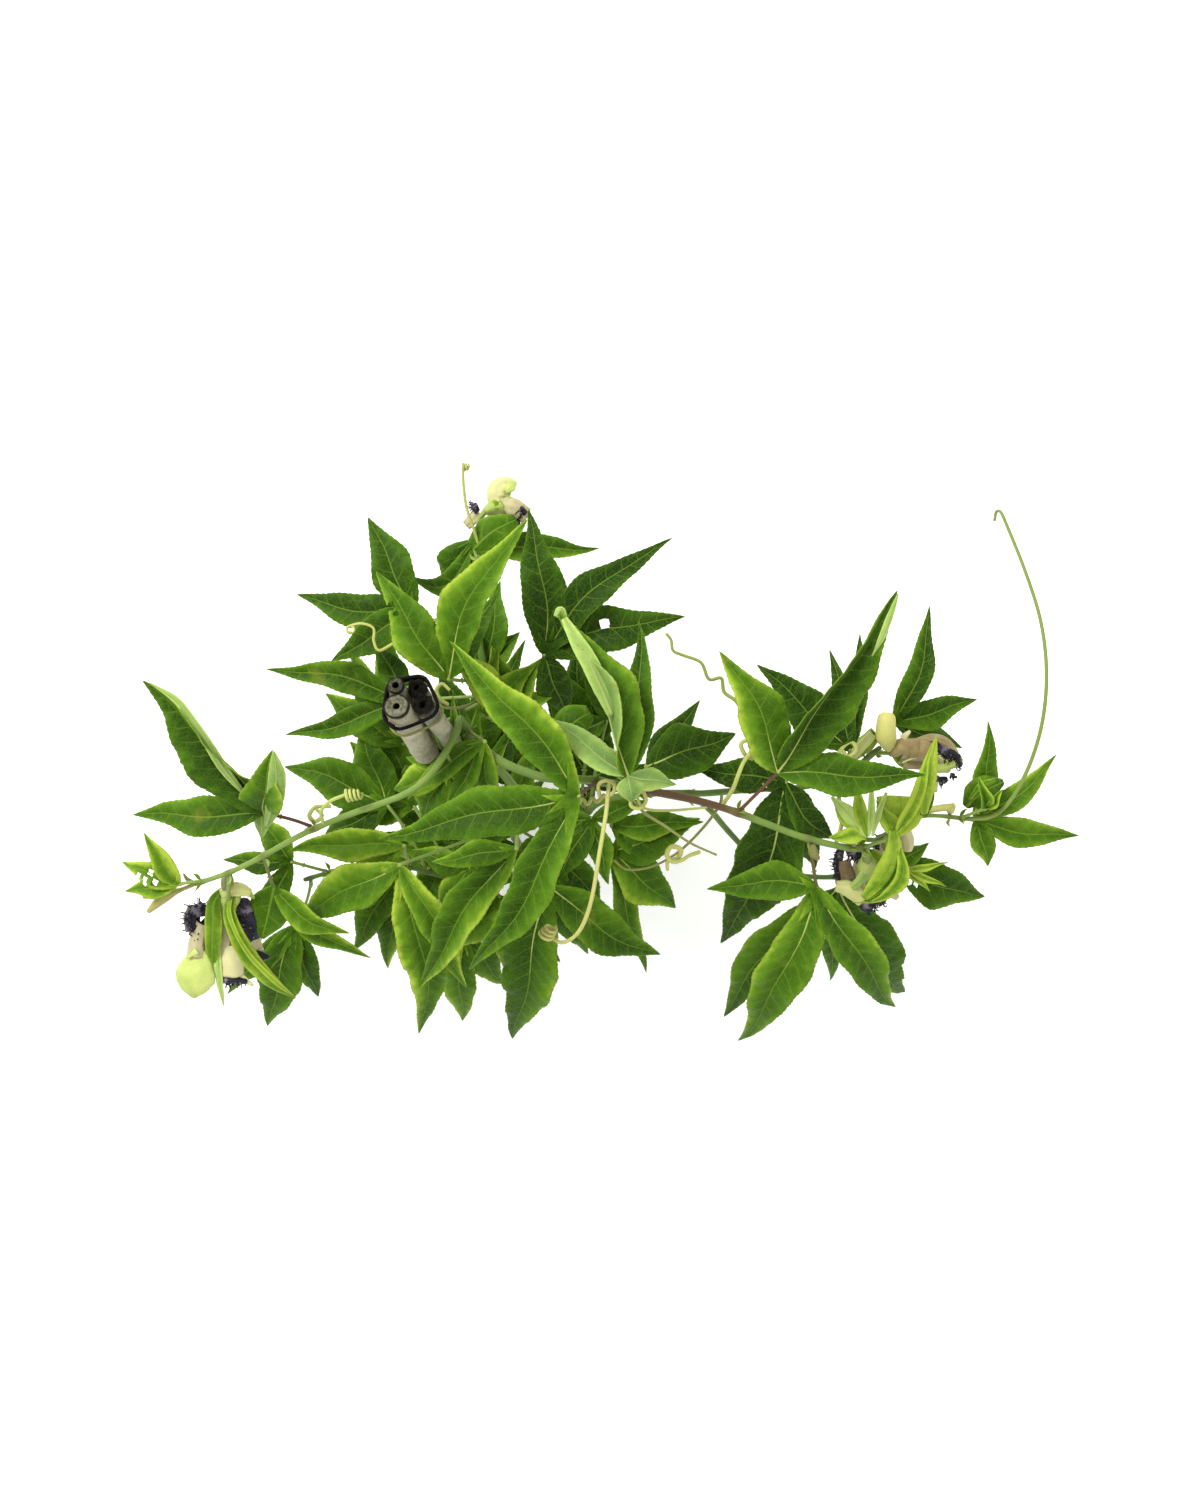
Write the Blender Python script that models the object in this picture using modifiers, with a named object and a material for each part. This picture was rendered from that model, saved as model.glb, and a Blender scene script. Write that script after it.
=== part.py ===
"""Passion flower vine, cut from its pot: leafy climbing stems on a tied bundle of four canes.

Everything is in millimetres in the tables below and is scaled to metres when it is built.
+Z is up, +X is right and +Y is away from the front. The cane feet and the cut stem ends
stand on z = 0.
"""

import math
import random

import bmesh
import bpy
from mathutils import Matrix, Vector

MM = 0.001
UP = Vector((0.0, 0.0, 1.0))
GAP = 0.35  # clearance between neighbouring pieces
SOLVER = "EXACT"

# ---------------------------------------------------------------- canes and tie
BUNDLE_TOP = Vector((-76.0, 21.0, 184.0))  # middle of the bundle at its upper end
BUNDLE_FOOT = Vector((-57.0, -36.0, 0.0))  # middle of the four feet
FOOT_SPREAD = 12.0  # distance of each foot from the middle
FOOT_TWIST = 25.0  # degrees that the canes turn round each other from top to foot
# name: angle round the bundle, distance from its middle, cane radius, how far it stands up
CANES = {
    "cane_front_left": (217.0, 6.9, 5.2, 2.0),
    "cane_back_left": (141.0, 8.4, 3.5, -1.0),
    "cane_back": (82.0, 6.1, 3.7, -5.5),
    "cane_right": (335.4, 4.2, 4.1, -1.5),
}
CANE_SIDES = 10
CANE_BORE = 1.3  # radius of the hollow seen in the sawn upper end
CANE_BORE_DEPTH = 9.0
CANE_KNOTS = (0.34, 0.76)  # shares of the length where a node ring swells
KNOT_SWELL = 0.45

WIRE_RADIUS = 0.75
WIRE_TURNS = 1.7
WIRE_PITCH = 2.3
WIRE_DROP = 6.5  # below the bundle's top
GRIP_RADIUS = 0.65  # tendril that grips the canes
GRIP_TURNS = 1.25
GRIP_DROP = 15.5

# ---------------------------------------------------------------- stems and tendrils
STEM_SAMPLES = 2  # tube points for each stretch of a stem's route
TIP_LEFT = 3.0  # bare end of a stem beyond its last leaf stalk
FORK = 3.0  # straight start of a side stem
# name: the stem it branches from (None: it has a cut end), radius at its foot, at its tip, route
STEMS = {
    "stem_left": (None, 2.1, 1.1, [
        (-38.5, -51.5, 0), (-38.5, -51.5, 25), (-44, -36, 70), (-49, -16.5, 105),
        (-55, 2, 128), (-60, 13, 143), (-61, 7.5, 151), (-66, -2, 154),
        (-73.5, -12, 153), (-85, -19.5, 150), (-109, -28, 144), (-129, -36.5, 139),
        (-146.5, -46, 134), (-161.5, -53, 129), (-177.5, -58.5, 123),
    ]),
    "stem_right": (None, 2.4, 1.4, [
        (-18.5, -67, 0), (-18.5, -67, 25), (-24.5, -41, 65), (-37, -20.5, 98),
        (-47.5, -5.5, 119), (-49.5, -1, 134), (-41.5, -5.5, 146), (-24, -11.5, 152),
        (-5, -12.5, 153), (14, -16, 156), (37, -20.5, 151), (57.5, -26.5, 144),
        (85, -37, 134), (107, -42.5, 126), (116.5, -42.5, 122),
    ]),
    "stem_back": (None, 2.1, 1.2, [
        (-28, 7, 0), (-28, 7, 25), (-40, 16, 65), (-49, 24.5, 98),
        (-54, 44.5, 112), (-56.5, 67, 108), (-55, 85.5, 104), (-51.5, 97, 101),
    ]),
    "stem_low_right": ("stem_right", 1.9, 1.2, [
        (-20.5, -51.5, 46), (-13, -38.5, 70), (-1, -23.5, 102), (21, -19, 116),
        (43, -19, 122), (69.5, -17, 120), (87.5, -16.5, 116), (108, -11, 111),
        (124.5, 1, 107),
    ]),
    "stem_right_tip": ("stem_right", 1.2, 0.9, [
        (111, -42, 123), (122, -39.5, 117), (133, -33.5, 114), (142, -29.5, 113),
        (152.5, -29.5, 113), (164.5, -31, 112),
    ]),
    "stem_side": ("stem_low_right", 1.6, 1.1, [
        (38.5, -19.5, 122), (49, -27.5, 112), (67, -46.5, 92), (87.5, -57.5, 80),
        (112, -59.5, 72), (131, -55.5, 70),
    ]),
    "stem_low_left": ("stem_left", 1.8, 1.1, [
        (-38.5, -49, 22), (-49.5, -60.5, 34), (-64.5, -63.5, 44), (-83, -59, 54),
        (-101, -53.5, 64), (-121.5, -56, 68), (-142, -62, 60),
    ]),
}
# stem: list of (where it grows from, thickness, route, coil); a coil is its radius, turns,
# pitch and the direction of its axis, and None ends the tendril plainly
TENDRILS = {
    "stem_right": [
        ((2.5, -15.5, 155), 0.75, [
            (2.5, -17.5, 164), (1.5, -26.5, 170), (-1, -41.5, 171), (-4.5, -62, 167),
            (-9.5, -75, 160), (-16.5, -80.5, 153), (-22, -78, 149),
        ], (3.0, 3, 2.0, (0.5, 0.75, 0.5))),
        ((14, -16.5, 156), 0.6, [
            (14.5, -19.5, 163), (17.5, -24, 164), (27.5, -25, 161), (43.5, -24, 155),
        ], None),
        ((11.5, -16, 156), 0.6, [
            (12, -18.5, 161), (17, -25.5, 161), (26, -31.5, 157), (37, -39, 150),
            (48.5, -44.5, 143),
        ], None),
    ],
    "stem_low_right": [
        ((52.5, -18.5, 121), 0.6, [
            (52, -24, 118), (45.5, -33.5, 116), (34.5, -45, 112), (22.5, -52, 109),
            (11.5, -53.5, 108), (5.5, -49.5, 107),
        ], None),
        ((73, -17, 120), 0.6, [
            (71, -8.5, 124), (65, 6.5, 128), (59, 20, 130), (53, 25, 130),
            (51.5, 31, 132), (46, 30.5, 134), (42.5, 37.5, 136), (35, 40.5, 137),
            (30.5, 42.5, 138), (29.5, 47, 139), (27.5, 49.5, 140),
        ], None),
    ],
    "stem_right_tip": [
        ((162.5, -30.5, 112), 0.6, [
            (171, -29.5, 118), (177.5, -22.5, 126), (184, -6.5, 134), (188, 13, 140),
            (189, 34, 142), (187, 55.5, 140), (181.5, 77, 136), (175.5, 96, 131),
            (173, 103, 129), (171.5, 103.5, 127), (171, 100, 126),
        ], None),
    ],
    "stem_left": [
        ((-119, -30, 141), 0.65, [
            (-118.5, -26, 147), (-114, -21.5, 151), (-107, -18.5, 152),
        ], (2.3, 4, 1.7, (1, 0.1, 0.05))),
    ],
    "stem_back": [
        ((-55.5, 55.5, 110), 0.6, [
            (-65, 52, 116), (-78, 49, 120), (-88.5, 48, 122), (-97, 43.5, 124),
            (-99.5, 47.5, 125), (-99.5, 53, 126), (-104.5, 55, 127), (-109.5, 54, 127),
        ], (1.8, 1.6, 0.6, (0, 0.2, 1))),
        ((-54.5, 88.5, 103), 0.6, [
            (-57, 98, 110), (-60, 107.5, 114), (-61, 117, 118), (-61, 124.5, 121),
        ], (1.5, 2.5, 1.3, (1, 0, 0.1))),
    ],
}

GRIPPING_STEM = "stem_back"  # the stem whose tendril grips the canes
GRIP_FROM = (-51, 25, 101)  # where that tendril leaves the stem
GRIP_BY = (-57, 18.5, 150)  # where it reaches the canes

# ---------------------------------------------------------------- leaves
BLADE = 0.8  # thickness of a blade
STALK = 0.85  # radius of a leaf stalk
HUB = 2.0  # radius of the knot where the lobes meet
ROWS = (0.0, 0.25, 0.5, 0.78, 1.0)  # stations along a lobe
FEW_ROWS = (0.0, 0.38, 0.72, 1.0)  # stations along a lobe shorter than SHORT
SHORT = 44.0
# name: stem, where the stalk leaves it, where the lobes meet, lobes
# each lobe: tip x, y, z, half width, arch, sideways bow, left fold, right fold, roll
LEAVES = {
    "leaf_centre": ("stem_right", (-1.5, -12.5, 152), (-9.5, -18.5, 172), [
        (-61, 43.5, 180, 10, 8, 2, 15, 18, 0),
        (-92, -36.5, 162, 11, 6, 0, 10, 12, 0),
        (-56.5, -93.5, 140, 10.5, 10, -3, 22, 30, 0),
    ]),
    "leaf_folded_top": ("stem_right", (16.5, -16, 156), (10.5, -10.5, 178), [
        (-18, 56.5, 184, 15, 6, 2, 112, 12, 0),
        (15, 53, 162, 6.5, 5, 3, 12, 12, 0),
        (-23.5, 14, 166, 6, 3, 0, 10, 10, 170),
        (30, -14, 174, 5, 2, 0, 10, 10, 175),
        (12, -21, 173, 6, 3, 0, 12, 12, 180),
    ]),
    "leaf_upper_left": ("stem_back", (-51.5, 33.5, 106), (-63.5, 29.5, 158), [
        (-92.5, 73, 166, 10, 6, 0, 10, 12, 0),
        (-30, 93, 176, 11, 8, -5, 12, 32, 0),
        (-45, 68, 136, 6.5, 4, 0, 10, 10, 0),
    ]),
    "leaf_dark_top": ("stem_back", (-47, 14, 88), (-24.5, 40.5, 140), [
        (-31, 101, 150, 10.5, 5, 3, 8, 8, 0),
        (29.5, 89, 150, 8.5, 8, -5, 15, 22, 0),
        (35.5, 57, 138, 10.5, 6, -3, 8, 8, 0),
        (-16, 15, 120, 8, 4, 0, 8, 8, 0),
    ]),
    "leaf_left_shoot": ("stem_left", (-122, -33.5, 140), (-143.5, -27, 142), [
        (-188.5, 28.5, 165, 12.5, 5, 4, 8, 112, 0),
        (-134.5, 0, 168, 8.5, 5, 0, 20, 38, 0),
        (-203, -28, 130, 7.5, 4, 0, 10, 10, 0),
    ]),
    "leaf_right_top": ("stem_right", (57.5, -26.5, 144), (73.5, -9.5, 152), [
        (48, 40.5, 166, 11, 6, 3, 12, 15, 0),
        (119.5, 64.5, 174, 14, 8, 0, 106, 8, 0),
        (135, -10.5, 154, 9, 5, 0, 8, 10, 0),
    ]),
    "leaf_right_front": ("stem_right", (89, -38, 132), (94.5, -60, 118), [
        (46.5, -61.5, 116, 9, 8, 3, 12, 12, 0),
        (65, -138.5, 62, 12.5, 12, -3, 18, 18, 0),
        (138.5, -121, 70, 10, 12, 3, 14, 14, 0),
    ]),
    "leaf_right_back": ("stem_low_right", (110.5, -10.5, 110), (108.5, 0, 122), [
        (67, 37, 130, 10.5, 4, 0, 10, 10, 0),
        (98.5, 43.5, 130, 6, 5, 0, 12, 12, 0),
        (113, 51, 122, 6, 3, 0, 12, 12, 0),
    ]),
    "leaf_dark_right": ("stem_low_right", (75, -16.5, 119), (79.5, -14, 130), [
        (38, -7, 132, 8, 5, 0, 12, 12, 0),
        (55.5, -90, 78, 15.5, 8, -4, 8, 8, 0),
        (96.5, -53.5, 100, 9.5, 4, 0, 8, 8, 0),
        (103.5, -39, 110, 7, 7, 4, 14, 14, 0),
    ]),
    "leaf_right_under": ("stem_side", (110, -57.5, 72), (112, -65.5, 66), [
        (62, -135, 16, 12.5, 12, 6, 12, 12, 0),
        (155.5, -124, 6, 13.5, 12, 4, 10, 10, 0),
        (114.5, -115.5, 24, 6, 6, 0, 10, 10, 0),
    ]),
    "leaf_right_far": ("stem_side", (130, -54.5, 70), (140, -53, 68), [
        (183, -70, 60, 11.5, 6, 3, 10, 10, 0),
        (153.5, -43.5, 74, 5, 2, 0, 10, 10, 0),
        (120.5, -80, 48, 6.5, 4, 0, 10, 10, 0),
    ]),
    "leaf_far_right": ("stem_low_right", (118, -3.5, 109), (134, 12.5, 90), [
        (149, 65.5, 96, 7, 5, 3, 14, 30, 0),
        (173.5, 23.5, 84, 7.5, 3, 0, 12, 14, 0),
        (170, 1, 70, 6, 2, 0, 12, 12, 0),
    ]),
    "leaf_right_tip": ("stem_right_tip", (154.5, -29.5, 113), (167.5, -31.5, 105), [
        (171, 13, 114, 6, 4, 2, 10, 10, 0),
        (202, -2, 112, 6, 4, 2, 10, 10, 0),
        (215, -38.5, 102, 7, 5, 2, 12, 12, 0),
        (174.5, -52.5, 100, 6, 4, 0, 12, 12, 0),
    ]),
    "leaf_right_bud": ("stem_right_tip", (159, -30, 112), (167.5, -25.5, 124), [
        (163, -11.5, 130, 5, 3, 0, 55, 55, 0),
        (174, -17, 128, 3.5, 2, 0, 50, 50, 0),
    ]),
    "leaf_young_bright": ("stem_right", (116.5, -42.5, 122), (127.5, -38, 128), [
        (141, 5.5, 146, 6.5, 4, 0, 35, 20, 0),
        (112.5, -68.5, 104, 6.5, 4, -12, 15, 15, 0),
        (119.5, -22, 126, 7.5, 3, 0, 12, 12, 0),
    ]),
    "leaf_young_pale": ("stem_right", (108, -42.5, 126), (113.5, -36.5, 130), [
        (101, -21.5, 120, 8, 3, 0, 12, 12, 0),
        (99.5, -38.5, 129, 6.5, 3, 0, 12, 12, 0),
        (112, -21.5, 119, 4.5, 3, 0, 12, 12, 0),
    ]),
    "leaf_tiny": ("stem_right_tip", (124, -39.5, 120), (135.5, -53.5, 110), [
        (154, -50, 112, 2.5, 2, 0, 14, 14, 0),
        (154, -61, 108, 2.5, 2, 0, 14, 14, 0),
        (147.5, -63.5, 104, 2, 2, 0, 14, 14, 0),
    ]),
    "leaf_left_hanging": ("stem_left", (-145.5, -45.5, 134), (-147, -61.5, 108), [
        (-114.5, -83, 98, 6.5, 6, 3, 28, 14, 0),
        (-107, -96, 84, 5.5, 5, 3, 14, 14, 0),
    ]),
    "leaf_left_tip": ("stem_left", (-177.5, -58.5, 123), (-184, -58.5, 126), [
        (-197, -35.5, 134, 5, 3, 0, 28, 28, 0),
        (-209, -48.5, 126, 5, 3, 0, 12, 12, 0),
        (-209.5, -62, 120, 4, 3, 0, 12, 12, 0),
    ]),
    "leaf_low_centre_left": ("stem_left", (-63, -37.5, 70), (-89.5, -51, 113), [
        (-140, -76.5, 90, 11, 6, 0, 10, 10, 0),
        (-87.5, -135.5, 60, 10.5, 10, -7, 16, 16, 0),
        (-62.5, -109.5, 86, 8, 8, -2, 22, 16, 0),
    ]),
    "leaf_low_centre": ("stem_right", (-24.5, -26, 106), (-37, -42.5, 132), [
        (-83.5, -109, 90, 10.5, 8, 2, 34, 20, 0),
        (-74.5, -49, 122, 6, 4, 0, 10, 10, 0),
    ]),
    "leaf_front_centre": ("stem_right", (-22.5, -36.5, 80), (-24, -61, 104), [
        (27, -94.5, 84, 11, 8, 3, 12, 12, 0),
        (-43.5, -140.5, 46, 14, 10, 0, 14, 14, 0),
        (-6.5, -96, 70, 7, 4, 0, 10, 10, 0),
    ]),
    "leaf_mid_right": ("stem_low_right", (-1, -32.5, 66), (4.5, -46.5, 92), [
        (44.5, -31, 98, 11, 5, 0, 10, 10, 0),
        (34.5, -74, 74, 11, 6, 0, 10, 10, 0),
        (21.5, -107.5, 52, 6, 5, 0, 12, 12, 0),
    ]),
    "leaf_round": ("stem_low_right", (21, -19, 118), (19, -7, 138), [
        (57.5, 7, 134, 12, 6, 0, 8, 8, 0),
        (42.5, 21.5, 128, 6, 3, 0, 8, 8, 0),
    ]),
    "leaf_dark_mid": ("stem_low_right", (2, -26, 88), (2, 13.5, 110), [
        (19.5, 34, 112, 6.5, 3, 0, 10, 10, 0),
        (-4.5, 48.5, 116, 7, 3, 0, 10, 10, 0),
        (-19, 4.5, 100, 6.5, 3, 0, 10, 10, 0),
    ]),
    "leaf_back_upper": ("stem_back", (-55, 49, 112), (-83.5, 61.5, 112), [
        (-137, 70, 104, 8.5, 5, -3, 10, 10, 0),
        (-104.5, 104, 108, 10, 5, 0, 10, 10, 0),
        (-121, 39.5, 108, 8.5, 4, 0, 10, 10, 0),
    ]),
    "leaf_back_left": ("stem_back", (-50, 22.5, 100), (-88, 22.5, 98), [
        (-153.5, 37, 92, 7.5, 5, 3, 14, 14, 0),
        (-146.5, 7, 84, 6.5, 5, -2, 12, 12, 0),
        (-104, 50.5, 92, 6.5, 3, 0, 10, 10, 0),
    ]),
    "leaf_back_low": ("stem_low_left", (-86, -54.5, 50), (-101.5, -26.5, 66), [
        (-152, -8, 58, 11.5, 5, 3, 10, 10, 0),
        (-134, -41, 50, 9, 4, 0, 10, 10, 0),
        (-115.5, 12.5, 60, 10, 4, 0, 10, 10, 0),
    ]),
    "leaf_back_top": ("stem_back", (-55, 85.5, 104), (-58, 95.5, 97), [
        (-91.5, 82.5, 86, 6, 6, -14, 12, 12, 0),
        (-67, 68.5, 82, 11, 4, 3, 10, 10, 0),
        (-1, 93.5, 84, 7, 4, 3, 10, 10, 0),
    ]),
    "leaf_low_left_front": ("stem_low_left", (-139, -61, 62), (-150.5, -86, 38), [
        (-172, -142, 3, 12, 6, 0, 10, 10, 0),
        (-145, -126, 8, 8, 5, 0, 10, 10, 0),
        (-191, -124.5, 10, 6.5, 4, 0, 10, 10, 0),
    ]),
    "leaf_low_left_side": ("stem_low_left", (-129, -58, 66), (-145.5, -52.5, 74), [
        (-179.5, -52, 66, 5.5, 4, 0, 10, 10, 0),
        (-160.5, -30.5, 70, 7.5, 4, 0, 10, 10, 0),
        (-164.5, -90, 52, 7, 4, 0, 10, 10, 0),
    ]),
    "leaf_low_front": ("stem_low_left", (-60, -63.5, 42), (-68, -90, 46), [
        (-71.5, -139, 5, 9, 6, 0, 10, 10, 0),
        (-86, -123, 16, 7, 4, 0, 10, 10, 0),
        (-48.5, -119, 16, 7.5, 4, 0, 10, 10, 0),
    ]),
    "leaf_pale_left": ("stem_low_left", (-92, -52.5, 58), (-90.5, -44, 92), [
        (-145, -47, 86, 8, 4, 3, 12, 12, 0),
        (-127.5, -70.5, 74, 6.5, 4, 0, 12, 12, 0),
    ]),
    "leaf_stem_folded": ("stem_left", (-56.5, 4.5, 140), (-49.5, 3.5, 148), [
        (-82.5, -21, 143, 5.5, 2, 2, 12, 12, 0),
        (-67, -26.5, 134, 5, 3, 0, 12, 12, 0),
        (-48.5, -24.5, 128, 5.5, 4, 0, 12, 12, 0),
    ]),
    "leaf_mid_top": ("stem_back", (-48, 12, 88), (-51.5, 15.5, 126), [
        (-28, 37, 140, 8, 4, 0, 12, 12, 0),
        (-44.5, 44, 136, 5.5, 4, 0, 12, 12, 0),
    ]),
}

YOUNG = ("leaf_young_bright", "leaf_young_pale", "leaf_tiny", "leaf_left_tip")  # fresh leaves, paler

# ---------------------------------------------------------------- blooms
# name: stem, where the stalk leaves it, back of the cup, facing, opening angle in degrees,
# size, turn about its axis
BLOOMS = {
    "bloom_left": ("stem_left", (-161.5, -53.5, 129), (-167.5, -74, 106), (0.0, -0.62, -0.78), 52, 0.82, 100),
    "bloom_top": ("stem_back", (-51.5, 97, 101), (-47.5, 105, 98), (0.1, 0.5, -0.86), 18, 0.55, 0),
    "bloom_low_right": ("stem_right", (115.5, -42.5, 122), (119.5, -53, 106), (0.0, -0.55, -0.83), 30, 0.75, 40),
    "bloom_far_right": ("stem_low_right", (126.5, 1.5, 107), (131.5, -1.5, 109), (0.97, -0.1, -0.12), 16, 0.85, 0),
}
CUP_BACK, CUP_FRONT, CUP_DEPTH = 3.6, 6.8, 4.6
COLLAR = 1.9  # radius of the knot that carries the bracts
FOOTSTALK = 1.15  # radius of the bloom's stalk
TEPALS = 5
TEPAL_LENGTH, TEPAL_HALF = 30.0, 7.0
BRACTS = 3
RING_RADIUS, RING_THICK = 4.9, 1.0
TUFT_FILAMENTS = 3
TUFT_SPREAD = 11.0  # degrees each side of a tuft's middle
FILAMENT_LENGTH, FILAMENT_RADIUS = 23.0, 0.8
COLUMN_RADIUS, COLUMN_LENGTH, OVARY = 1.3, 9.0, 2.6

COLOURS = {
    "blade": ((0.10, 0.26, 0.02), 0.45),
    "young": ((0.30, 0.48, 0.06), 0.45),
    "stem": ((0.20, 0.33, 0.06), 0.5),
    "bract": ((0.24, 0.42, 0.06), 0.5),
    "tepal": ((0.72, 0.70, 0.38), 0.5),
    "corona": ((0.03, 0.02, 0.07), 0.6),
    "cane": ((0.42, 0.38, 0.30), 0.7),
    "wire": ((0.02, 0.02, 0.02), 0.4),
}


# ---------------------------------------------------------------- scene and materials
def clear_scene():
    for obj in list(bpy.data.objects):
        bpy.data.objects.remove(obj)


def new_collection(name):
    made = bpy.data.collections.new(name)
    bpy.context.scene.collection.children.link(made)
    return made


def material(name):
    found = bpy.data.materials.get(name)
    if found:
        return found
    colour, roughness = COLOURS[name]
    made = bpy.data.materials.new(name)
    made.use_nodes = True
    shader = made.node_tree.nodes["Principled BSDF"]
    shader.inputs["Base Color"].default_value = (*colour, 1.0)
    shader.inputs["Roughness"].default_value = roughness
    shader.inputs["Metallic"].default_value = 0.0
    return made


def keep(obj, name, finish):
    """Names a finished object, gives it its material and puts it with the parts."""
    obj.name = name
    obj.data.name = name
    obj.data.materials.clear()
    obj.data.materials.append(material(finish))
    for home in list(obj.users_collection):
        home.objects.unlink(obj)
    PARTS.objects.link(obj)
    return obj


# ---------------------------------------------------------------- curves and tubes
def smooth_route(points, samples):
    """Points of a Catmull-Rom curve through the given ones."""
    spots = [Vector(p) for p in points]
    ends = [2 * spots[0] - spots[1], *spots, 2 * spots[-1] - spots[-2]]
    made = []
    for a, b, c, d in zip(ends, ends[1:], ends[2:], ends[3:]):
        for step in range(samples):
            t = step / samples
            made.append(
                0.5 * (2 * b + (c - a) * t + (2 * a - 5 * b + 4 * c - d) * t * t
                       + (3 * b - a - 3 * c + d) * t ** 3)
            )
    return [*made, spots[-1]]


def tapered(count, start, end):
    return [start + (end - start) * i / (count - 1) for i in range(count)]


def tube(points, radii, sides=6, closed=False):
    """A capped (or closed) tube as a mesh object: a bevelled curve made a mesh, caps welded."""
    curve = bpy.data.curves.new("tube", "CURVE")
    curve.dimensions = "3D"
    curve.bevel_depth = MM
    curve.bevel_resolution = (sides - 4) // 2
    curve.use_fill_caps = True
    line = curve.splines.new("POLY")
    line.points.add(len(points) - 1)
    line.use_cyclic_u = closed
    for spot, place, radius in zip(line.points, points, radii):
        spot.co = (*(Vector(place) * MM), 1.0)
        spot.radius = radius
    source = bpy.data.objects.new("tube", curve)
    bpy.context.scene.collection.objects.link(source)
    bpy.context.view_layer.update()
    graph = bpy.context.evaluated_depsgraph_get()
    mesh = bpy.data.meshes.new_from_object(source.evaluated_get(graph))
    bm = bmesh.new()
    bm.from_mesh(mesh)
    bmesh.ops.remove_doubles(bm, verts=bm.verts, dist=0.01 * MM)
    bm.to_mesh(mesh)
    bm.free()
    made = bpy.data.objects.new("tube", mesh)
    made.matrix_world = source.matrix_world
    bpy.context.scene.collection.objects.link(made)
    bpy.data.objects.remove(source)
    return made


def ball(centre, radius):
    """A small faceted knot, as a mesh object."""
    bm = bmesh.new()
    bmesh.ops.create_uvsphere(bm, u_segments=4, v_segments=2, radius=radius * MM)
    bmesh.ops.translate(bm, vec=Vector(centre) * MM, verts=bm.verts)
    mesh = bpy.data.meshes.new("ball")
    bm.to_mesh(mesh)
    bm.free()
    made = bpy.data.objects.new("ball", mesh)
    bpy.context.scene.collection.objects.link(made)
    return made


def joined(pieces):
    """One body from overlapping pieces, by a Boolean union on a collection, applied."""
    first, others = pieces[0], pieces[1:]
    if not others:
        return first
    group = bpy.data.collections.new("joining")
    for piece in others:
        group.objects.link(piece)
    union = first.modifiers.new("join", "BOOLEAN")
    union.operation = "UNION"
    union.operand_type = "COLLECTION"
    union.collection = group
    union.solver = SOLVER
    bpy.context.view_layer.update()
    graph = bpy.context.evaluated_depsgraph_get()
    mesh = bpy.data.meshes.new_from_object(first.evaluated_get(graph))
    first.modifiers.clear()
    first.data = mesh
    for piece in others:
        bpy.data.objects.remove(piece)
    bpy.data.collections.remove(group)
    return first


# ---------------------------------------------------------------- stems
def stem_route(name):
    parent, start, end, points = STEMS[name]
    if parent:
        fork, way = seat(parent, points[0], points[1], start)
        points = [fork, fork + way * FORK, *points[1:]]
    route = smooth_route(points, STEM_SAMPLES)
    if not parent:
        route[1].xy = route[0].xy  # upright at the cut, so that the cut face is level
    return route, tapered(len(route), start, end)


def nearest(name, near):
    """The place on a stem's axis closest to a point, a little short of the stem's tip."""
    route, radii = stem_route(name)
    route[-1] -= (route[-1] - route[-2]).normalized() * TIP_LEFT
    near, found = Vector(near), []
    for a, b, size in zip(route, route[1:], radii):
        run = b - a
        share = max(0.0, min(1.0, (near - a).dot(run) / run.length_squared))
        spot = a + run * share
        found.append(((spot - near).length, spot, run.normalized(), size))
    return min(found, key=lambda entry: entry[0])[1:]


def seat(name, near, towards, radius):
    """Where a stalk of that radius starts, clear of the stem's side, and its first direction."""
    spot, tangent, size = nearest(name, near)
    wish = (Vector(towards) - spot).normalized()
    across = (wish - tangent * wish.dot(tangent)).normalized()
    lean = max(-0.6, min(0.6, wish.dot(tangent)))
    way = (across * math.sqrt(1 - lean * lean) + tangent * lean).normalized()
    out = (0.93 * size + GAP + radius * abs(lean)) / math.sqrt(1 - lean * lean)
    return spot + way * out, way


def coil_points(start, heading, radius, turns, pitch, axis, steps=6):
    """Turns of a helix that leave start along heading and climb along axis."""
    axis = Vector(axis).normalized()
    heading = (Vector(heading) - axis * Vector(heading).dot(axis)).normalized()
    outward = heading.cross(axis)
    centre = Vector(start) - outward * radius
    made = []
    for i in range(1, int(turns * steps) + 1):
        angle = 2 * math.pi * i / steps
        shrink = 1 - 0.25 * i / (turns * steps)
        spoke = outward * math.cos(angle) + heading * math.sin(angle)
        made.append(centre + spoke * radius * shrink + axis * pitch * i / steps)
    return made


def tendril(stem, spec):
    near, thickness, route, coil = spec
    path = smooth_route([nearest(stem, near)[0], *route], 1)
    if coil:
        path += coil_points(path[-1], path[-1] - path[-2], *coil)
    return tube(path, tapered(len(path), thickness, 0.75 * thickness), sides=4)


def make_stem(name):
    route, radii = stem_route(name)
    body = [tube(route, radii, sides=6)]
    body += [tendril(name, spec) for spec in TENDRILS.get(name, [])]
    if name == GRIPPING_STEM:
        body.append(grip_tendril())
    return keep(joined(body), name, "stem")


# ---------------------------------------------------------------- lobes and leaves
def lobe_width(share):
    """Half width along a lobe, as a share of its widest: narrow at the foot, pointed at the tip."""
    swell = math.sin(math.pi * share ** 0.9) ** 1.1
    return max(swell, 0.10 * (1 - share))


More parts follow.
